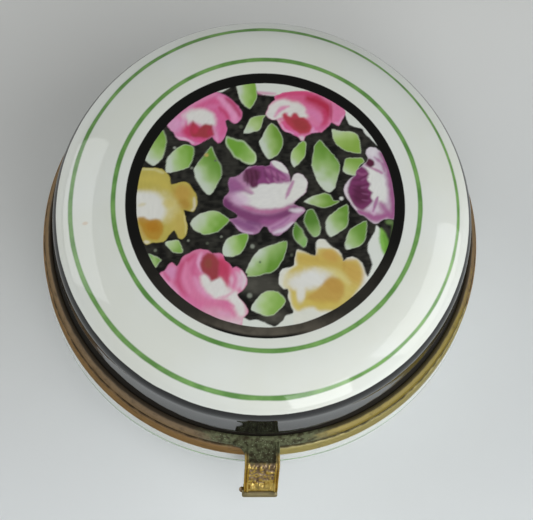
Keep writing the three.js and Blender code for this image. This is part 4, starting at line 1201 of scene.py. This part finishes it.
def build_bowl(material):
    """The bowl, from the middle of its recess out over the foot and wall and back down inside."""
    foot_top = TABLE + FOOT_HIGH
    floor = TABLE + BOWL_FLOOR
    bulge = BOWL_WALL_R + BOWL_BULGE
    shoulder = BASE_BEZEL_BOTTOM - 0.03
    outer = arc(FOOT_OUTER_R, BOWL_CURVE_Z, bulge - FOOT_OUTER_R, BOWL_CURVE_Z - foot_top, -90, 0, 26)
    wall = [(bulge - 0.03 * i * i, BOWL_CURVE_Z + 0.7 * i) for i in range(1, 4)]
    inner = arc(FOOT_INNER_R, BOWL_INNER_CURVE_Z, BOWL_INNER_R - FOOT_INNER_R, BOWL_INNER_CURVE_Z - floor,
                0, -90, 20)
    recess = TABLE + FOOT_RECESS
    profile = [(0, recess), (6, recess), (FOOT_INNER_R - 0.15, recess), (FOOT_INNER_R, TABLE + 0.1)]
    profile += [(FOOT_INNER_R + 0.12, TABLE), (FOOT_OUTER_R - 0.15, TABLE), (FOOT_OUTER_R, TABLE + 0.15)]
    profile += [*outer, *wall, (BOWL_WALL_R, shoulder), (BOWL_REBATE_R, shoulder)]
    profile += [(BOWL_REBATE_R, BOWL_RIM), (BOWL_INNER_R, BOWL_RIM), *inner, (7, floor), (0, floor)]
    solid = Solid()
    solid.turn(profile, ROUND_STEPS)
    make_piece("base_porcelain", solid, "base", material, ["base_bowl"], 50)


# ---------------------------------------------------------------- the brass


def round_corner(profile, amount):
    """The closed profile with each corner cut by a three-point curve of about the amount."""
    rounded = []
    count = len(profile)
    for index in range(count):
        before, here, after = [np.array(profile[(index + k) % count]) for k in (-1, 0, 1)]
        back, on = before - here, after - here
        cut = min(amount, np.linalg.norm(back) / 3, np.linalg.norm(on) / 3)
        start = here + back / np.linalg.norm(back) * cut
        end = here + on / np.linalg.norm(on) * cut
        rounded += [tuple(start), tuple((start + 2 * here + end) / 4), tuple(end)]
    return rounded


def cut_notch(piece):
    """Cuts a bezel back round the hinge's barrel."""
    steps = 48
    angles = angles_round(steps)
    ends = []
    for x in (-NOTCH_HALF, NOTCH_HALF):
        ends.append([(x, HINGE_R + NOTCH_R * math.cos(a), NOTCH_R * math.sin(a)) for a in angles])
    faces = [(i, (i + 1) % steps, steps + (i + 1) % steps, steps + i) for i in range(steps)]
    faces += [tuple(range(steps))[::-1], tuple(range(steps, 2 * steps))]
    mesh = bpy.data.meshes.new("notch")
    mesh.from_pydata(to_world(ends[0] + ends[1]).tolist(), [], faces)
    cutter = bpy.data.objects.new("notch", mesh)
    bpy.context.scene.collection.objects.link(cutter)
    cut = piece.modifiers.new("notch", "BOOLEAN")
    cut.operation = "DIFFERENCE"
    cut.solver = "EXACT"
    cut.object = cutter
    evaluated = piece.evaluated_get(bpy.context.evaluated_depsgraph_get())
    shape = bpy.data.meshes.new_from_object(evaluated)
    piece.modifiers.clear()
    piece.data = shape
    bpy.data.objects.remove(cutter)


def build_bezel(name, node, body, profile, material):
    """A bezel of the given profile, with its corners rounded and the notch cut."""
    solid = closed_ring(round_corner(profile, BEZEL_ROUNDING), ROUND_STEPS)
    piece = make_piece(name, solid, body, material, [node])
    cut_notch(piece)
    finish_mesh(piece, material, 35)


def build_lid_bezel(material):
    profile = [(LID_FLANGE_R, HALF_SEAM), (LID_BEZEL_R - 0.1, HALF_SEAM), (LID_BEZEL_R, HALF_SEAM + 0.17),
               (LID_BEZEL_R - 0.12, 0.75), (LID_BEZEL_TOP_R, LID_BEZEL_TOP),
               (LID_BEZEL_INNER_R, LID_BEZEL_TOP), (LID_BEZEL_INNER_R, HALF_SEAM + SHEET),
               (LID_FLANGE_R, HALF_SEAM + SHEET)]
    build_bezel("lid_bezel_ring", "lid_bezel", "lid", profile, material)


def build_base_bezel(material):
    ledge = BASE_BEZEL_R - BASE_LEDGE
    shoulder = arc(ledge, -HALF_SEAM - BASE_SHOULDER, BASE_LEDGE, BASE_SHOULDER - 0.1, 0, 80, 6)
    profile = [(BASE_BEZEL_INNER_R, BASE_BEZEL_BOTTOM), (BASE_BEZEL_R - 0.1, BASE_BEZEL_BOTTOM),
               (BASE_BEZEL_R + 0.04, BASE_BEZEL_BOTTOM + 0.25), (BASE_BEZEL_R - 0.02, -1.9), *shoulder,
               (ledge - 0.25, -HALF_SEAM), (BASE_FLANGE_R, -HALF_SEAM), (BASE_FLANGE_R, -HALF_SEAM - SHEET),
               (BASE_BEZEL_INNER_R, -HALF_SEAM - SHEET)]
    build_bezel("base_bezel_ring", "base_bezel", "base", profile, material)


def strap_path():
    """Points (reach, z) down the middle of the strap's sheet, from its root to the end of its curl."""
    half = STRAP_THICK / 2
    level = STRAP_SHELF - half
    bend = STRAP_BEND_R - half
    corner = STRAP_BEND_REACH - STRAP_BEND_R
    path = [(reach, level) for reach in np.linspace(STRAP_ROOT_REACH, corner, 34)[:-1]]
    path += arc(corner, STRAP_SHELF - STRAP_BEND_R, bend, bend, 90, 8, 12)
    start = np.array(path[-1])
    end = np.array([STRAP_FOOT_REACH - half, STRAP_FOOT_Z])
    path += [tuple(start + (end - start) * t) for t in np.linspace(0, 1, 72)[1:]]
    curl = ROLL_R - half * 0.65
    path += arc(ROLL_REACH, ROLL_Z, curl, curl, 175, 455, 46)
    return np.array(path)


def strap_relief(along, across, reach, z):
    """How far the strap's face stands up: milled ribs on its edges, hammering between, crust above."""
    rib = smooth(across, STRAP_HALF - 0.55, STRAP_HALF - 0.42)
    groove = smooth(np.abs(across - STRAP_HALF + 0.24), 0.09, 0.02)
    relief = 0.15 * rib - 0.12 * groove * rib
    face = smooth(reach, -CRUST_END - 0.15, -CRUST_END + 0.15)
    face = face * smooth(z, STRAP_FOOT_Z + 0.1, STRAP_FOOT_Z + 0.6) * (1 - rib)
    blows = grain(along + 40, (z - reach) * 0.45 + 40, 0.22, 31) - 0.5
    nicks = np.abs(grain(along + 40, (z - reach) * 0.5 + 40, 0.13, 32) - 0.5)
    relief += face * (0.30 * blows + 0.16 * nicks)
    relief += 0.55 * smooth(z, STRAP_FOOT_Z + 1.8, STRAP_FOOT_Z)
    shelf = smooth(reach, -CRUST_END + 0.15, -CRUST_END - 0.15) * (1 - 0.4 * rib)
    crust = grain(along + 60, reach, 0.26, 33) * 0.6 + grain(along + 60, reach, 0.12, 34) * 0.4 - 0.4
    return relief + shelf * 0.17 * crust


def strap_section(reach, z, out, curl):
    """Points across the strap's face and its back at one step of its path, and how raised the face is."""
    flare = max(0.0, 1 - (reach - LID_BEZEL_R) / FLARE_WIDE) if z > 0 else 0.0
    flare = FLARE_WIDE * (1 - math.sqrt(1 - min(flare, 1.0) ** 2))
    left, right = STRAP_HALF + flare + CURL_LEFT * curl, STRAP_HALF - CURL_RIGHT * curl
    share = np.linspace(-1, 1, STRAP_ACROSS)
    spread = np.sign(share) * (1 - (1 - np.abs(share)) ** 1.15)
    x = np.where(spread < 0, spread * left, spread * right)
    edge = STRAP_EDGE + CURL_EDGE * curl
    near = np.minimum(x + left, right - x)
    round_edge = np.sqrt(np.clip(1 - (1 - np.clip(near / edge, 0, 1)) ** 2, 0.02, 1))
    half = STRAP_THICK / 2 * (1 - CURL_THINNER * curl) * round_edge
    lift = strap_relief(x, np.abs(x), np.full(STRAP_ACROSS, reach), np.full(STRAP_ACROSS, z))
    lift = lift * (1 - curl) * round_edge
    face, back = [np.stack([x, -(reach + out[0] * shift), z + out[1] * shift], -1)
                  for shift in (half + lift, -half)]
    return face, back, np.clip(lift / RELIEF_FULL, -1, 1)


def build_strap(material):
    """The strap: a sheet along its path, with a face, a back and rounded edges."""
    path = strap_path()
    ahead = np.gradient(path, axis=0)
    ahead /= np.linalg.norm(ahead, axis=1)[:, None]
    outward = np.stack([-ahead[:, 1], ahead[:, 0]], -1)
    steps = len(path)
    curling = smooth(np.arange(steps), steps - 50, steps - 40)
    solid = Solid()
    loops = []
    raised = []
    for (reach, z), out, curl in zip(path, outward, curling):
        face, back, height = strap_section(reach, z, out, curl)
        loops.append(solid.row(np.concatenate([face, back[::-1]])))
        raised += [*height, *np.zeros(STRAP_ACROSS)]
    for a, b in zip(loops, loops[1:]):
        solid.bridge(a, b)
    for loop in (loops[0], loops[-1]):
        for i in range(STRAP_ACROSS - 1):
            solid.faces.append((loop[i], loop[i + 1], loop[-2 - i], loop[-1 - i]))
    piece = make_piece("clasp_strap_milled", solid, "lid", material, ["clasp_strap"], 60)
    add_attribute(piece, "raised", "FLOAT", raised)


def build_wire(material):
    """The wire in the strap's curl, with a ball at its left end."""
    ball_x = -STRAP_HALF - BALL_R * 0.55
    angles = np.radians(np.linspace(180, 40, 14))
    profile = [(ball_x + BALL_R * math.cos(a), BALL_R * math.sin(a)) for a in angles]
    profile += [(-STRAP_HALF + 0.1, WIRE_R), (STRAP_HALF - 0.2, WIRE_R), (STRAP_HALF - 0.12, WIRE_R - 0.08)]
    solid = Solid()
    steps = 28
    previous = None
    for x, r in [*profile, (STRAP_HALF - 0.12, 0)]:
        points = ring(r, 0, steps)
        middle = BALL_LEAN * smooth(x, -STRAP_HALF + 0.1, -STRAP_HALF - 0.1) - ROLL_REACH
        place = [(x, middle + px, ROLL_Z + py) for px, py, _ in points]
        row = solid.row(place if r > 1e-6 else [(x, middle, ROLL_Z)])
        if previous is not None:
            solid.bridge(previous, row)
        previous = row
    make_piece("clasp_wire_ball", solid, "lid", material, ["clasp_wire"], 50)


def knuckle_outline(foot):
    """Distances from the pin's centre to the outline of a hinge tube with its foot, all round."""
    corners = np.array(foot)
    sides = np.roll(corners, -1, 0) - corners
    reaches = []
    for angle in angles_round(HINGE_STEPS, 0.5):
        ahead = np.array([math.cos(angle), math.sin(angle)])
        slant = ahead[0] * sides[:, 1] - ahead[1] * sides[:, 0]
        slant = np.where(np.abs(slant) < 1e-9, 1e-9, slant)
        reach = (corners[:, 0] * sides[:, 1] - corners[:, 1] * sides[:, 0]) / slant
        along = (corners[:, 0] * ahead[1] - corners[:, 1] * ahead[0]) / slant
        hits = reach[(along >= 0) & (along <= 1)]
        reaches.append(max(KNUCKLE_R, *hits, 0.0))
    return np.array(reaches)


def build_knuckle(side, place, body, foot, material):
    """A hinge tube, counted from the left, whose foot is soldered to its bezel, with rubbed edges."""
    outline = knuckle_outline(foot)
    pitch = 2 * BARREL_HALF / KNUCKLE_COUNT
    start = -BARREL_HALF + place * pitch + KNUCKLE_GAP / 2
    end = start + pitch - KNUCKLE_GAP
    bore = np.full(HINGE_STEPS, KNUCKLE_BORE_R)
    edge = [(0.0, 0.09), (0.03, 0.03), (0.09, 0.0)]  # how far in from an end, and below the outline
    rows = [(start, bore), *[(start + far, outline - below) for far, below in edge]]
    rows += [*[(end - far, outline - below) for far, below in edge[::-1]], (end, bore)]
    angles = angles_round(HINGE_STEPS, 0.5)
    solid = Solid()
    loops = []
    for x, reach in rows:
        y, z = HINGE_R + reach * np.cos(angles), reach * np.sin(angles)
        loops.append(solid.row(np.stack([np.full(HINGE_STEPS, x), y, z], -1)))
    for index, loop in enumerate(loops):
        solid.bridge(loops[index - 1], loop)
    make_piece(f"{body}_hinge_tube_{side}", solid, body, material,
               [f"{body}_knuckle_{side}"])


def build_pin(material):
    """The hinge pin, with a rounded head at each end."""
    head = BARREL_HALF + PIN_HEAD_GAP
    end = BARREL_HALF + PIN_HEAD_LONG
    half = [(PIN_R, head), (PIN_HEAD_R - 0.04, head), (PIN_HEAD_R, head + 0.04),
            (PIN_HEAD_R - 0.03, head + 0.1), (PIN_HEAD_R - 0.16, end - 0.02), (PIN_HEAD_R - 0.3, end),
            (0, end)]
    profile = [(r, -x) for r, x in half[::-1]] + half
    solid = Solid()
    solid.turn(profile, 40)
    solid.vertices = [np.stack([p[:, 2], HINGE_R + p[:, 0], p[:, 1]], -1) for p in solid.vertices]
    make_piece("hinge_pin_rod", solid, "base", material, ["hinge_pin"])


def build_hinge(material):
    """The tubes and the pin. A foot's corners are y and z from the pin's centre."""
    base_foot = [(-0.6, 0.0), (0.78, -0.25), (0.1, -1.9), (-0.6, -1.9)]
    lid_foot = [(-1.1, 0.2), (0.72, 0.4), (-0.9, 1.95), (-1.1, 1.6)]
    for place, side in ((0, "left"), (2, "middle"), (4, "right")):
        build_knuckle(side, place, "base", base_foot, material)
    for place, side in ((1, "left"), (3, "right")):
        build_knuckle(side, place, "lid", lid_foot, material)
    build_pin(material)


def dress_cad_pieces(fitting, plaster):
    """Gives the CAD nodes that still show their materials."""
    for name, node in frame["nodes"].items():
        if node.hide_render:
            continue
        node.data.materials.clear()
        node.data.materials.append(plaster if "cement" in name else fitting)


# ---------------------------------------------------------------- studio

FLOOR_HALF = 1.5  # metres
VIEW_DISTANCE = 200
VIEW_ELEVATION = 72.03
VIEW_AZIMUTH = -5.74
VIEW_ROLL = 5.66
VIEW_LENS = 126.95
AIM_RIGHT = 0.176  # the seam's centre is this many degrees left of the picture's middle
AIM_DOWN = 0.737  # and this many above it


def direction(azimuth, elevation):
    """A unit vector: azimuth 0 is the front, 90 the right."""
    a, e = math.radians(azimuth), math.radians(elevation)
    return Vector((math.sin(a) * math.cos(e), -math.cos(a) * math.cos(e), math.sin(e)))


def build_camera():
    """A camera that looks steeply down on the front, with the seam's centre a little off the middle."""
    back = direction(VIEW_AZIMUTH, VIEW_ELEVATION)
    look = back.to_track_quat("Z", "Y")
    roll = Quaternion((0, 0, 1), math.radians(VIEW_ROLL))
    seam = Vector((-math.tan(math.radians(AIM_RIGHT)), math.tan(math.radians(AIM_DOWN)), -1))
    aim = seam.normalized().rotation_difference(Vector((0, 0, -1)))
    camera = bpy.data.objects.new("camera", bpy.data.cameras.new("camera"))
    camera.data.lens = VIEW_LENS
    camera.data.clip_start = 0.01
    camera.rotation_mode = "QUATERNION"
    camera.rotation_quaternion = look @ roll @ aim
    camera.location = Vector((0, AXIS_Y, SEAM_Z)) * MM + back * VIEW_DISTANCE * MM
    bpy.context.scene.collection.objects.link(camera)
    bpy.context.scene.camera = camera


def build_floor():
    """The pale floor, with painted shade: a little darker towards the back left."""
    half = FLOOR_HALF
    mesh = bpy.data.meshes.new("floor")
    corners = [(-half, -half, 0), (half, -half, 0), (half, half, 0), (-half, half, 0)]
    mesh.from_pydata(corners, [], [(0, 1, 2, 3)])
    floor = bpy.data.objects.new("floor", mesh)
    bpy.context.scene.collection.objects.link(floor)
    nodes = Nodes("floor_paper")
    where = nodes.place()
    x, y, _ = nodes.split(where)
    # Painted shade: the floor's colour darkens towards the back left.
    slope = nodes.plus(nodes.times(x, 0.35), nodes.times(y, -1.0))
    grey = nodes.mix(nodes.ease(slope, -42.0, 34.0), rgba(218, 217, 214), rgba(226, 228, 229))
    grey = nodes.mix(nodes.times(nodes.noise(where, 4.0), 0.04), grey, rgba(190, 190, 190))
    nodes.set(color=grey, roughness=0.75)
    mesh.materials.append(nodes.material)


class Sky(Tree):
    """The studio all round the box: a plain grey with soft round patches, dimmer near the horizon."""

    def __init__(self, color, strength):
        world = bpy.data.worlds.new("studio")
        world.use_nodes = True
        bpy.context.scene.world = world
        super().__init__(world.node_tree)
        self.towards = self.add("ShaderNodeTexCoord").outputs["Generated"]
        self.light = [c * strength for c in color]

    def vector(self, operation, a, b):
        node = self.add("ShaderNodeVectorMath", operation=operation)
        self.feed(node.inputs[0], a)
        self.feed(node.inputs[1], b)
        return node.outputs["Value"] if operation == "DOT_PRODUCT" else node.outputs[0]

    def patch(self, azimuth, elevation, inner, outer, color, strength):
        """A round patch that fades from its inner to its outer radius; a negative one is dark."""
        near = self.vector("DOT_PRODUCT", self.towards, direction(azimuth, elevation))
        cover = self.ease(near, math.cos(math.radians(outer)), math.cos(math.radians(inner)))
        light = self.vector("MULTIPLY", cover, [c * strength for c in color])
        self.light = self.vector("ADD", self.light, light)

    def finish(self, horizon):
        """Dims the light near the horizon to a share of what it is above."""
        height = self.vector("DOT_PRODUCT", self.towards, (0, 0, 1))
        node = self.add("ShaderNodeMapRange")
        for index, value in enumerate((height, 0.02, 0.36, horizon, 1.0)):
            self.feed(node.inputs[index], value)
        light = self.vector("MULTIPLY", self.light, node.outputs[0])
        self.feed(self.tree.nodes["Background"].inputs["Color"], light)


def build_window(name, near, azimuth, elevation, distance, wide, high, brightness, mirrored=True):
    """A bright rectangle in the given direction from a point near the box."""
    light = bpy.data.lights.new(name, "AREA")
    light.shape = "RECTANGLE"
    light.size, light.size_y = wide * MM, high * MM
    light.energy = brightness * math.pi * light.size * light.size_y
    light.color = (0.97, 1.0, 1.0)
    lamp = bpy.data.objects.new(name, light)
    back = direction(azimuth, elevation)
    lamp.location = Vector(to_world([near])[0]) + back * distance * MM
    lamp.rotation_mode = "QUATERNION"
    lamp.rotation_quaternion = back.to_track_quat("Z", "Y")
    lamp.visible_camera = False
    lamp.visible_glossy = mirrored
    bpy.context.scene.collection.objects.link(lamp)


def build_light():
    """Windows at the front right, left and right, a soft light above, and a dark sky high behind."""
    sky = Sky((0.97, 0.99, 1.0), 0.40)
    sky.patch(azimuth=174, elevation=72, inner=20, outer=45, color=(1, 1, 1), strength=-0.33)
    sky.finish(0.4)
    build_window("window_front_right", (5.5, -19.5, 5.5), azimuth=23, elevation=18, distance=150,
                 wide=68, high=94, brightness=3.7)
    build_window("window_left", (-18, 0, 5), azimuth=-106, elevation=26, distance=250,
                 wide=230, high=220, brightness=1.7)
    build_window("window_right", (18, -3, 5), azimuth=78, elevation=24, distance=250,
                 wide=230, high=220, brightness=2.0)
    build_window("soft_box", (0, -4, 5), azimuth=26, elevation=57, distance=170,
                 wide=120, high=120, brightness=1.82, mirrored=False)


def main():
    bpy.context.scene.view_settings.view_transform = "Standard"
    build_camera()
    build_floor()
    build_light()
    build_lid(lid_glaze())
    build_bowl(base_glaze())
    build_lid_bezel(lid_bezel_brass())
    build_base_bezel(base_bezel_brass())
    build_strap(aged_brass("clasp_brass", shine=0.4, green=1.0, darkening=0.45, shaded_below=STRAP_FOOT_Z))
    fitting = aged_brass("fitting_brass", shine=0.35, darkening=0.5)
    build_wire(fitting)
    build_hinge(fitting)
    dress_cad_pieces(fitting, cement())


main()
